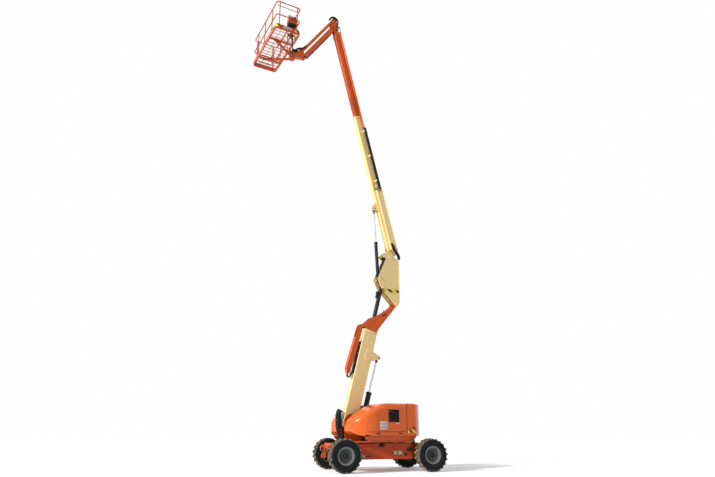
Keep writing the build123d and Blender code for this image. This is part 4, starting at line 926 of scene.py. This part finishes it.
def pin_caps(name: str, body: str, slot: str, places: Iterable[tuple[Matrix, float]], finish: Finish) -> None:
    """Cap the ends of pins, each with a keeper and two bolts.

    Args:
        name: The piece's name.
        body: The body that the pins belong to.
        slot: The material slot that the caps go with; it is handed to the piece, which does not use it.
        places: Each cap's frame, with +Z pointing outward, and its radius.
        finish: The caps' finish.
    """
    caps = Shop(name, body, finish, slot)
    for place, radius in places:
        caps.turned(place, boss(radius, 0.012, (0.55, 0.7), 0.007, 0.006, -0.004), 24)
        caps.block(place @ shift(0.0, radius * 0.35, 0.013), (radius * 1.5, radius * 0.45, 0.008), 0.002)
        for side in (-1, 1):
            caps.bolt(place @ shift(side * radius * 0.52, radius * 0.35, 0.017), radius * 0.15, 0.006)
    caps.done()


def both_sides(*pins: tuple[float, float, float, float]) -> list[tuple[Matrix, float]]:
    """Give the frames of pins' two ends and the caps' radii, from each pin's u, z, half length and radius."""
    return [(spot(u, side * v, z) @ face, radius) for u, z, v, radius in pins for side, face in SIDES]


@dataclass(frozen=True)
class Cylinder:
    """A lift or levelling cylinder's line, from its foot to its head, and the side its pipe lies on."""

    foot: Vector
    head: Vector
    front: Vector

    def at(self, far: float, out: float = 0.0) -> Vector:
        """Give a point along the cylinder, counted from its foot, or from its head when below zero."""
        line = (self.head - self.foot).normalized()
        return (self.foot if far >= 0.0 else self.head) + line * far + self.front * out

    def port(self, far: float, out: float) -> Matrix:
        """Give the frame of a block that stands on the barrel."""
        return Matrix.Translation(self.at(far, out)) @ UPPER


@dataclass(frozen=True)
class TowerBoom:
    """Wear pads, bosses, hose track and hoses of the tower boom and its telescoping elbow."""

    collar: float = 2.985
    track_n: float = -0.2705
    foot_pin: Point = (-0.67, 0.0, 1.03)
    rod_pin: Point = (0.015, 0.0, 3.465)

    def build(self) -> None:
        """Make the tower's dressing."""
        self.outer()
        self.track()
        self.elbow()
        self.cylinder()

    def outer(self) -> None:
        """Fit the outer section's bosses, wear-pad bolts and collar."""
        bosses = Shop("tower_bosses", "tower_base", CREAM, "cream_paint")
        collar = Shop("tower_collar", "tower_base", CREAM, "cream_paint")
        bolts = Shop("tower_bolts", "tower_base", STEEL, "cream_paint")
        for side, face in SIDES:
            for u, z, radius, out in (
                    (-0.35, 3.64, 0.046, 0.1195), (-0.406, 3.43, 0.046, 0.1195),
                    (-0.37, 4.11, 0.026, 0.1075)):
                bosses.turned(spot(u, side * out, z) @ face, boss(radius, 0.006, (0.6, 0.7), 0.01), 24)
            collar.blocks(
                TOWER.frame,
                ((self.collar, 0.0, side * 0.1095), (0.09, 0.006, 0.486), 0.002),
                ((self.collar, side * 0.2445, 0.0), (0.09, 0.222, 0.006), 0.002))
            bolts.bolts(
                0.011, 0.01, (TOWER.side(self.collar, n, side * 0.1125, face) for n in (-0.17, 0.0, 0.17)))
            bolts.bolt(TOWER.side(0.1, 0.16, side * 0.1075, face), 0.013, 0.01)
        collar.block(TOWER.frame(3.0, 0.262, 0.0), (0.05, 0.13, 0.034), 0.006)
        for piece in (bosses, collar, bolts):
            piece.done()
        pin_caps(
            "tower_foot_caps", "tower_base", "cream_paint", both_sides((0.015, 3.465, 0.1315, 0.03)),
            BLACK_PAINT)

    def track(self) -> None:
        """Link the tower's hose track, and loop its hoses over into the channel."""
        links = Shop("tower_links", "tower_base", BLACK_PLASTIC, "black_plastic")
        for s in steps(1.53, 0.058, 18):
            links.block(TOWER.frame(s, self.track_n, 0.0), (0.044, 0.132, 0.058), 0.004)
            for side, face in SIDES:
                links.turned(TOWER.side(s + 0.029, self.track_n, side * 0.0655, face), stud(0.004), 12)
        links.done()
        hose_run("tower_hose_loop", "tower_top", "black_paint", 0.01, TOWER.at, (
            ((1.56, -0.43, v), (1.4, -0.445, v), (1.33, -0.415, v), (1.325, -0.34, v), (1.4, -0.32, v),
             (1.5, -0.32, v)) for v in steps(-0.048, 0.024, 5)))
        Shop("tower_hose_marks", "tower_base", YELLOW, "black_plastic").blocks(TOWER.frame, *(
            ((s, -0.285, -0.0665), (0.018, 0.003, 0.02), 0.0) for s in (1.8, 2.16, 2.45))).done()

    def elbow(self) -> None:
        """Fit the elbow's bosses and plug, and the hose channel's lips and bolts."""
        bosses = Shop("elbow_bosses", "tower_top", BOOM_ORANGE, "orange_paint")
        lips = Shop("channel_lips", "tower_top", BOOM_ORANGE, "black_paint")
        bolts = Shop("channel_bolts", "tower_top", BOOM_ORANGE, "black_paint")
        for side, face in SIDES:
            for s, n, radius in ((3.12, -0.205, 0.04), (3.19, 0.15, 0.026)):
                bosses.turned(
                    TOWER.side(s, n, side * 0.0835, face), boss(radius, 0.02, (0.55, 0.6), 0.012), 24)
            lips.rod(TOWER.at(1.6, -0.545, side * 0.069), TOWER.at(2.985, -0.478, side * 0.069), 0.007, 8)
            bolts.bolts(0.009, 0.007, (
                TOWER.side(s, -0.455 + 0.055 * (index / 6), side * 0.072, face)
                for index, s in enumerate(steps(1.7, 0.2, 7))))
        for piece in (bosses, lips, bolts):
            piece.done()
        Shop("elbow_plug", "tower_top", BLACK_PLASTIC, "orange_paint").block(
            TOWER.frame(3.742, 0.378, -0.062), (0.26, 0.004, 0.15), 0.001).done()

    def cylinder(self) -> None:
        """Fit the ports, pipe and wiper rings of the tower's lift cylinder."""
        line = Cylinder(upper(*self.foot_pin), upper(*self.rod_pin), upper(0.0, -1.0, 0.0))
        rings = Shop("tower_cylinder_rings", "tower_barrel", BLACK_PAINT, "black_paint")
        for far in (0.3, 1.18):
            rings.band(line.at(far), line.at(far + 0.03), 0.083, 0.09)
        rings.block(line.port(0.2, 0.09), (0.06, 0.05, 0.07), 0.006)
        rings.rod(line.at(0.23, 0.1), line.at(1.26, 0.1), 0.009, 10).done()
        Shop("tower_rod_lug", "tower_rod", BLACK_PAINT, "chromed_rod").rod(
            line.at(-0.15), line.at(-0.045), 0.038, 24, 0.004).done()


@dataclass(frozen=True)
class Upright:
    """Pins, tape, plates and hoses of the upright."""

    pin_end: float = 0.161
    cheek: float = 0.155
    tape_face: float = 0.1567

    def build(self) -> None:
        """Make the upright's dressing."""
        pin_caps("upright_caps", "upright", "cream_paint", both_sides(
            (0.526, 7.035, self.pin_end, 0.05), (0.107, 6.202, self.pin_end, 0.04),
            (0.215, 5.9, self.pin_end, 0.042),
            (0.7383, 5.3545, self.pin_end, 0.048)), CREAM)
        tape = Shop("upright_tape", "upright", BROAD_TAPE, "cream_paint")
        marks = Shop("upright_marks", "upright", STEEL, "cream_paint")
        for side, face in SIDES:
            tape.sheet(spot(0.0, side * self.tape_face, 0.0), (
                (0.246, 5.755), (0.868, 5.755), (0.868, 5.862), (0.142, 5.862)), 0.003)
            for u, z in ((0.133, 6.27), (0.452, 6.04), (0.236, 5.94), (0.56, 6.96), (0.81, 6.82),
                         (0.81, 5.96)):
                marks.bolt(spot(u, side * self.cheek, z) @ face, 0.015, 0.01)
        tape.done()
        marks.done()
        Shop("upright_manifold", "upright", BLACK_PAINT, "cream_paint").blocks(
            spot,
            ((0.35, 0.0, 6.995), (0.17, 0.21, 0.07), 0.01),
            ((0.33, 0.0, 6.93), (0.06, 0.15, 0.08), 0.008)).done()
        across = steps(-0.1, 0.05, 5)
        hoses = Shop("upright_hoses", "upright", HOSE_RUBBER, "cream_paint").hoses(0.011, upper, (
            ((0.69, v, 5.48), (0.56, v, 5.64), (0.33, v, 5.98), (0.2, v, 6.28), (0.27, v, 6.56),
             (0.33, v, 6.9)) for v in across))
        hoses.hoses(0.014, upper, [(
            (0.3, -0.11, 6.94), (0.2, -0.12, 6.8), (0.12, -0.12, 6.62), (0.16, -0.12, 6.46),
            (0.26, -0.12, 6.4))])
        hoses.done(60.0)
        Shop("upright_fittings", "upright", BRASS, "cream_paint").rods(upper, *(
            ((0.33, v, 6.885), (0.33, v, 6.925), 0.015, 6) for v in across)).done()


@dataclass(frozen=True)
class MainBoom:
    """Hose tray, power track, clamps, caps and cylinder trim of the main boom."""

    collar: float = 5.545
    middle: float = 0.1775
    tube_n: float = 0.262
    lift_eye: Pair = (1.889, -0.088)

    def build(self) -> None:
        """Make the main boom's dressing."""
        self.tray()
        self.track()
        self.outer()
        self.inner()
        self.cylinders()

    def tray(self) -> None:
        """Lay the hoses in the tray and lead them round the boom's foot."""
        routes, cuffs = [], []
        for index in range(5):
            odd = index % 2
            n, v, out = 0.116 + 0.019 * index, -0.138 - 0.027 * odd, -0.244 - 0.006 * odd
            end = 0.33 + 0.02 * index
            routes.append((
                (2.6, n, v), (1.7, n, v), (0.62, n, v), (0.44, 0.13 + 0.02 * index, out),
                (0.26, 0.14 + 0.024 * index, out), (0.09, 0.2 + 0.028 * index, out),
                (-0.03, 0.27 + 0.026 * index, out + 0.02), (-0.13, end, v + 0.02)))
            v = -0.15 - 0.018 * odd
            cuffs.append(((-0.085, 0.309 + 0.022 * index, v + 0.013), (-0.13, end, v + 0.02), 0.017, 10))
        hose_run("tray_hoses", "main_base", "cream_paint", 0.015, MAIN.at, routes)
        Shop("tray_cuffs", "main_base", STEEL, "cream_paint").rods(MAIN.at, *cuffs).done()
        Shop("tray_straps", "main_base", BLACK_PAINT, "cream_paint").blocks(MAIN.frame, *(
            ((s, 0.2115, -0.166), (0.04, 0.122, 0.005), 0.001) for s in (0.48, 1.0, 1.52, 2.04))).done()
        Shop("tray_lip", "main_base", CREAM, "cream_paint").blocks(
            MAIN.frame,
            ((1.37, 0.32, -0.2275), (2.4, 0.016, 0.012), 0.003),
            ((1.37, 0.105, -0.2275), (2.34, 0.012, 0.012), 0.003)).done()

    def track(self) -> None:
        """Link the power track, loop its lower end and hold it with a bracket."""
        links = Shop("power_links", "main_base", BLACK_PLASTIC, "black_plastic")
        for s in steps(2.655, 0.0605, 40):
            links.block(MAIN.frame(s, 0.258, -0.212), (0.05, 0.042, 0.104), 0.004)
            links.turned(MAIN.side(s + 0.03, 0.258, -0.2335, Facing.TOWARD_NEAR.value), stud(0.005), 12)
        links.done()
        hose_run("power_loop", "main_base", "black_plastic", 0.012, MAIN.at, (
            ((2.7, 0.27 - out, v), (2.58, 0.278 - out, v), (2.505, 0.24 - out, v), (2.49 + out, 0.17, v),
             (2.54 + out, 0.118 + out, v), (2.64, 0.112 + out, v), (2.8, 0.118 + out, v + 0.02))
            for v, out in zip(steps(-0.234, 0.005, 5), steps(0.0, 0.006, 5))))
        Shop("power_bracket", "main_base", CREAM, "cream_paint").blocks(
            MAIN.frame,
            ((2.69, 0.172, -0.168), (0.06, 0.132, 0.014), 0.003),
            ((2.69, 0.12, -0.232), (0.16, 0.006, 0.1), 0.002)).done()

    def outer(self) -> None:
        """Fit the outer section's collar, caps and bolts."""
        collar = Shop("main_collar", "main_base", CREAM, "cream_paint").blocks(
            MAIN.frame,
            ((self.collar, 0.034, 0.0), (0.09, 0.214, 0.006), 0.002),
            ((self.collar, 0.321, 0.0), (0.09, 0.214, 0.006), 0.002))
        bolts = Shop("main_bolts", "main_base", STEEL, "cream_paint")
        for side, face in SIDES:
            collar.block(MAIN.frame(self.collar, self.middle, side * 0.1045), (0.09, 0.006, 0.29), 0.002)
            bolts.bolts(
                0.01, 0.009, (MAIN.side(self.collar, n, side * 0.1075, face) for n in (0.085, 0.178, 0.27)))
            bolts.bolts(0.011, 0.009, (MAIN.side(s, n, side * v, face) for s, n, v in (
                (0.25, 0.08, 0.1145), (0.25, 0.27, 0.1145), (2.86, 0.15, 0.1025))))
        collar.done()
        bolts.done()
        pin_caps("lift_eye_caps", "main_base", "cream_paint", [
            (MAIN.side(*self.lift_eye, side * 0.0812, face), 0.026) for side, face in SIDES], BLACK_PAINT)

    def inner(self) -> None:
        """Clamp the push tube and cap the boom's tip."""
        clamps = Shop("tube_clamps", "main_top", BOOM_ORANGE, "orange_paint")
        for s, long in ((5.125, 0.055), (5.485, 0.055), (5.72, 0.05), (6.6, 0.04), (7.55, 0.04), (8.5, 0.04),
                        (9.02, 0.07)):
            ends = (MAIN.at(far, self.tube_n, -0.15) for far in (s, s + long))
            clamps.band(*ends, 0.035, 0.0385, 24)
        clamps.done()
        Shop("main_fly_pads", "main_top", BLACK_PLASTIC, "orange_paint").blocks(MAIN.frame, *(
            ((9.0, self.middle, v), (0.06, 0.005, 0.18), 0.002) for v in (-0.0835, 0.0835))).done()
        hose_run("tip_hoses", "main_top", "orange_paint", 0.01, MAIN.at, (
            ((9.02, self.tube_n, v), (9.2, 0.27, v), (9.32, top, v), (9.4, 0.255, v), (9.42, 0.15, v))
            for v, top in zip(steps(-0.196, 0.013, 4), steps(0.3, 0.012, 4))))

    def cylinders(self) -> None:
        """Dress the main boom's lift cylinder and the upright's levelling cylinder."""
        sideways = upper(0.0, -1.0, 0.0)
        foot, head = upper(0.107, 0.0, 6.202), MAIN.at(*self.lift_eye)
        line = Cylinder(foot, head, sideways.cross(head - foot).normalized())
        rings = Shop("main_cylinder_rings", "main_barrel", BLACK_PAINT, "black_paint")
        for near, far, outer in ((0.24, 0.264, 0.06), (0.8, 0.824, 0.06), (1.325, 1.372, 0.068)):
            rings.band(line.at(near), line.at(far), 0.053, outer)
        rings.rod(line.at(0.15, 0.066), line.at(1.3, 0.066), 0.008, 10)
        rings.block(line.port(0.15, 0.064), (0.046, 0.06, 0.07), 0.006).done()
        Shop("main_rod_sleeve", "main_rod", BLACK_PAINT, "chromed_rod").rod(
            line.at(-0.185), line.at(-0.036), 0.034, 24, 0.004).done()
        foot, head = upper(0.215, 0.0, 5.9), TOWER.at(2.208, 0.06)
        line = Cylinder(foot, head, (head - foot).cross(sideways).normalized())
        rings = Shop("level_cylinder_rings", "level_barrel", BLACK_PAINT, "black_paint")
        for far in (0.16, 0.62):
            rings.band(line.at(far), line.at(far + 0.026), 0.063, 0.07)
        rings.block(line.port(0.26, 0.104), (0.06, 0.11, 0.18), 0.012)
        rings.block(line.port(0.39, 0.11), (0.05, 0.08, 0.06), 0.01)
        rings.rod(line.at(0.3, 0.078), line.at(1.12, 0.074), 0.008, 10).done()


@dataclass(frozen=True)
class Jib:
    """Pins, hoses and rotary actuator trim of the jib."""

    under: float = -0.102
    actuator: Point = (-3.5, 0.0, 14.33)

    def build(self) -> None:
        """Make the jib's dressing."""
        for name, body, pins in (
                ("knuckle_caps", "boom_head", ((-1.7387, 16.0666, 0.11, 0.04), (-1.86, 16.13, 0.11, 0.04),
                                               (-1.847, 16.53, 0.11, 0.032))),
                ("jib_end_caps", "jib", ((-3.027, 14.36, 0.089, 0.034),)),
                ("bar_end_caps", "jib_end", ((-3.014, 14.76, 0.077, 0.028),))):
            pin_caps(name, body, "orange_paint", both_sides(*pins), BLACK_PAINT)
        self.hoses()
        self.head()

    def hoses(self) -> None:
        """Arch the hoses over the knuckle and run them down the jib."""
        arcs = []
        for index in range(5):
            v, out = -0.128 - 0.026 * (index % 2), 0.024 * (index // 2)
            arcs.append((
                (-1.69, v, 16.25), (-1.68 + out * 0.6, v, 16.42), (-1.735 + out * 0.6, v, 16.545 + out),
                (-1.85, v, 16.6 + out), (-1.965 - out * 0.6, v, 16.545 + out), (-2.03 - out, v, 16.4)))
        hose_run("knuckle_hoses", "boom_head", "orange_paint", 0.014, upper, arcs)
        hose_run("jib_hoses", "jib", "orange_paint", 0.011, JIB.at, (
            tuple((s, self.under, v) for s in (0.26, 0.7, 1.2, 1.7, 1.96))
            for v in steps(-0.07, 0.03, 5)))
        Shop("jib_clips", "jib", BLACK_PAINT, "orange_paint").blocks(JIB.frame, *(
            ((s, -0.104, -0.01), (0.028, 0.16, 0.03), 0.003) for s in (0.5, 0.86, 1.22, 1.58))).done()
        Shop("jib_bolts", "jib", STEEL, "orange_paint").bolts(0.01, 0.008, (
            JIB.side(s, n, side * 0.089, face) for side, face in SIDES
            for s, n in ((1.9, 0.045), (1.9, -0.045), (1.97, 0.0)))).done()

    def head(self) -> None:
        """Dress the rotary actuator with its end caps, bolts, valve and hoses."""
        centre = spot(*self.actuator)
        drum = Shop("actuator_rings", "jib_end", BLACK_PAINT, "orange_paint")
        for low, high in ((0.095, 0.121), (-0.121, -0.095)):
            drum.turned(centre, (
                (0.0, low), (0.112, low), (0.116, low + 0.004), (0.116, high - 0.004), (0.112, high),
                (0.0, high)), 40)
        drum.blocks(
            spot,
            ((-3.43, -0.085, 14.48), (0.15, 0.11, 0.09), 0.01),
            ((-3.33, -0.06, 14.52), (0.07, 0.08, 0.06), 0.008)).done()
        Shop("actuator_bolts", "jib_end", STEEL, "orange_paint").bolts(0.009, 0.008, (
            centre @ turn @ shift(0.09, 0.0, 0.121) for turn in around(10))).done()
        hose_run("head_hoses", "jib_end", "orange_paint", 0.012, upper, (
            ((-3.42, v, 14.5), (-3.33, v, 14.57 + out), (-3.2, v, 14.6 + out), (-3.08, v, 14.68 + out),
             (-3.0, v, 14.8 + out)) for v, out in zip(steps(-0.1, -0.012, 4), steps(0.0, 0.018, 4))))


@dataclass(frozen=True)
class Platform:
    """Floor mesh, tape, console, cables and fittings of the platform."""

    centre: float = -4.129
    floor: float = 14.3
    console_middle: Pair = (0.19, -1.072)
    mesh_half: Pair = (0.42, 1.185)
    wire: float = 0.0022
    rail_end: float = -1.155

    def at(self, across: float, along: float, up: float) -> Matrix:
        """Give a frame on the platform: across its width, along its length, up from its floor."""
        return spot(self.centre + across, along, self.floor + up)

    def point(self, across: float, along: float, up: float) -> Vector:
        """Give a point on the platform."""
        return upper(self.centre + across, along, self.floor + up)

    def build(self) -> None:
        """Make the platform's dressing."""
        self.mesh()
        self.tape()
        self.console()
        self.controls()
        self.fittings()

    def mesh(self) -> None:
        """Lay the floor's open mesh."""
        wires = Shop("floor_mesh", "platform", FLOOR_STEEL, "cream_paint")
        wide, long = self.mesh_half
        wires.rods(self.point, *(
            ((across, -long, -0.004), (across, long, -0.004), self.wire, 4)
            for across in (-0.4 + 0.8 * index / 14 for index in range(15))))
        wires.rods(self.point, *(
            ((-wide, along, -0.0015), (wide, along, -0.0015), self.wire, 4)
            for along in (-long + 2.37 * index / 43 for index in range(44))))
        wires.done()

    def tape(self) -> None:
        """Stick warning tape round the toe board's corners."""
        tape = Shop("platform_tape", "platform", TAPE, "cream_paint")
        for side, end in ((side, end) for side in (-1, 1) for end in (-1, 1)):
            tape.block(self.at(side * 0.4565, end * 1.06, 0.075), (0.003, 0.13, 0.11), 0.0)
            tape.block(self.at(side * 0.31, end * 1.2215, 0.075), (0.11, 0.003, 0.11), 0.0)
            for step in range(4):
                turn = Matrix.Rotation(atan2(end, side) + (step - 1.5) * pi / 8, 4, "Z")
                place = self.at(side * 0.365, end * 1.13, 0.075) @ turn @ shift(0.0915, 0.0, 0.0)
                tape.block(place, (0.003, 0.037, 0.11), 0.0)
        tape.done()

    def console(self) -> None:
        """Build the console's cover, panel, levers, screen guard and foot switch."""
        across, along = self.console_middle
        Shop("console_cover", "platform", RAIL_ORANGE, "console_plastic").blocks(
            self.at,
            ((across, along, 0.545), (0.316, 0.226, 0.16), 0.014),
            ((across, -1.186, 0.5), (0.31, 0.012, 0.24), 0.004)).done()
        panel = Shop("console_panel", "platform", BLACK_PLASTIC, "console_plastic").blocks(
            self.at,
            ((across, along, 0.647), (0.24, 0.19, 0.01), 0.003),
            ((across, -1.0, 0.006), (0.22, 0.16, 0.012), 0.003),
            ((across, -0.99, 0.045), (0.12, 0.11, 0.05), 0.01))
        for out in (-0.085, 0.085):
            lever = [self.point(across + out * lean, along + away, up) for lean, away, up in (
                (1.0, 0.02, 0.65), (1.06, 0.03, 0.735), (1.06, 0.03, 0.725), (1.1, 0.04, 0.775))]
            panel.rod(lever[0], lever[1], 0.008, 10)
            panel.rod(lever[2], lever[3], 0.018, 14, 0.005)
        panel.rods(
            self.point,
            ((0.03, -1.15, 0.7), (0.35, -1.15, 0.7), 0.01, 10),
            ((0.032, -1.15, 0.6), (0.032, -1.15, 0.704), 0.01, 10),
            ((0.348, -1.15, 0.6), (0.348, -1.15, 0.704), 0.01, 10)).done()

    def controls(self) -> None:
        """Fit the console's stop button and its two rows of switches."""
        Shop("console_stop", "platform", LAMP_RED, "console_plastic").turned(self.at(0.19, -1.03, 0.65), (
            (0.0, 0.034), (0.022, 0.032), (0.026, 0.024), (0.026, 0.018), (0.012, 0.016), (0.012, 0.0),
            (0.0, 0.0)), 24).done()
        Shop("console_switches", "platform", STEEL, "console_plastic").rods(self.point, *(
            ((across, along, 0.65), (across, along - 0.004, 0.67), 0.004, 8)
            for along in (-1.115, -1.085) for across in steps(0.11, 0.04, 5))).done()

    def fittings(self) -> None:
        """Fit the hand rail, plates, clamps and cables, and the gate's latch."""
        Shop("hand_rail", "platform", RAIL_ORANGE, "orange_paint").rods(
            self.point,
            ((-0.4, self.rail_end, 0.96), (0.4, self.rail_end, 0.96), 0.0125, 16),
            ((-0.32, self.rail_end, 0.96), (-0.32, -1.2, 1.09), 0.01, 12),
            ((0.32, self.rail_end, 0.96), (0.32, -1.2, 1.09), 0.01, 12)).done()
        Shop("platform_plates", "platform", PLATE_GREY, "cream_paint").blocks(
            self.at,
            ((-0.02, -1.2225, 0.078), (0.3, 0.004, 0.09), 0.0015),
            ((-0.4575, 0.3, 0.085), (0.004, 0.26, 0.07), 0.0015)).done()
        Shop("rail_clamps", "platform", BLACK_PAINT, "orange_paint").blocks(self.at, *(
            ((across, along, 0.172), (0.048, 0.052, 0.04), 0.004)
            for along in (-0.742, 0.0, 0.742) for across in (-0.436, 0.436))).done()
        hose_run("platform_cables", "platform", "console_plastic", 0.011, self.point, (
            ((0.12 + out, -1.06, 0.345), (0.12 + out, -1.09, 0.2), (0.18 + out, -1.06, 0.03),
             (0.25 + out, -0.9, -0.06), (0.42, -0.62 + out, -0.11), (0.56, -0.3 + out, -0.13))
            for out in steps(0.0, 0.03, 3)))
        latch = Shop("gate_latch", "gate", BLACK_PAINT, "orange_paint")
        latch.block(self.at(0.262, 1.201, 0.56), (0.07, 0.045, 0.05), 0.006)
        latch.rod(self.point(0.25, 1.201, 0.575), self.point(0.25, 1.201, 0.64), 0.008, 10).done()


# ---------------------------------------------------------------- studio
@dataclass(frozen=True)
class Studio:
    """The pale ground, the light and the camera."""

    eye: Point = (-5.97, -17.84, 1.2)
    yaw: float = 16.56
    pitch: float = 19.1
    lens: float = 27.84
    sun_aim: Point = (0.9, 0.29, -0.42)
    sun_power: float = 4.1
    sky_power: float = 0.46
    floor_glow: float = 0.22
    ground: float = 90.0

    def build(self) -> None:
        """Place all of it."""
        bpy.context.scene.camera = self.camera()
        self.sun()
        self.sky()
        self.floor()

    def place(self, name: str, data: bpy.types.ID) -> bpy.types.Object:
        """Put an object with its data in the scene."""
        item = bpy.data.objects.new(name, data)
        bpy.context.scene.collection.objects.link(item)
        return item

    def camera(self) -> bpy.types.Object:
        """Stand the camera low in front of the near side, looking up."""
        data = bpy.data.cameras.new("camera")
        data.lens = self.lens
        data.sensor_width = 36.0
        data.clip_end = 400.0
        camera = self.place("camera", data)
        camera.location = self.eye
        camera.rotation_euler = (radians(90.0 + self.pitch), 0.0, -radians(self.yaw))
        return camera

    def sun(self) -> None:
        """Hang one soft sun over the camera's left shoulder."""
        data = bpy.data.lights.new("sun", "SUN")
        data.energy = self.sun_power
        data.angle = radians(9.0)
        self.place("sun", data).rotation_euler = Vector(self.sun_aim).to_track_quat("-Z", "Y").to_euler()

    def sky(self) -> None:
        """Light the scene evenly, and show plain white behind it."""
        world = bpy.data.worlds.new("sky")
        bpy.context.scene.world = world
        world.use_nodes = True
        world.node_tree.nodes.clear()
        graph = Graph(world.node_tree)
        lit = graph.add("Background", {"Color": (0.95, 0.97, 1.0), "Strength": self.sky_power})
        white = graph.add("Background", {"Color": (1.0, 1.0, 1.0)})
        mix = graph.add("MixShader")
        for socket, value in zip(mix.inputs, (self.seen(graph), lit.outputs[0], white.outputs[0])):
            graph.feed(socket, value)
        graph.add("OutputWorld", {"Surface": mix.outputs[0]})

    def seen(self, graph: Graph) -> Socket:
        """Give 1 for the rays that show the background: seen straight, mirrored or through glass."""
        path = graph.add("LightPath").outputs
        mirrored = graph.math("MAXIMUM", path["Is Glossy Ray"], path["Is Transmission Ray"])
        return graph.math("MAXIMUM", path["Is Camera Ray"], mirrored)

    def floor(self) -> None:
        """Lay a wide pale floor that keeps the shadow."""
        data = bpy.data.meshes.new("floor")
        mesh = bmesh.new()
        bmesh.ops.create_grid(mesh, x_segments=1, y_segments=1, size=self.ground)
        mesh.to_mesh(data)
        mesh.free()
        material = bpy.data.materials.new("floor_white")
        material.use_nodes = True
        graph = Graph(material.node_tree)
        graph.fill(graph.tree.nodes["Principled BSDF"], {
            "Base Color": (0.93, 0.93, 0.93), "Roughness": 0.9, "Specular IOR Level": 0.0,
            "Emission Color": (1.0, 1.0, 1.0),
            "Emission Strength": graph.math("MULTIPLY", self.seen(graph), self.floor_glow)})
        data.materials.append(material)
        self.place("floor", data)


def main() -> None:
    """Dress the solids, build each sub-assembly's small parts and set the studio."""
    logging.basicConfig(level=logging.INFO, format="%(name)s: %(message)s")
    bpy.context.scene.view_settings.view_transform = "Standard"
    dress_nodes()
    for end, across in (("front", -1), ("rear", 1)):
        for name, (side, face) in zip(("near", "far"), SIDES):
            Wheel(end + "_" + name, across, side, face).build()
    for assembly in (Carrier(), Turntable(), TowerBoom(), Upright(), MainBoom(), Jib(), Platform(), Studio()):
        assembly.build()


if __name__ == "__main__":
    main()
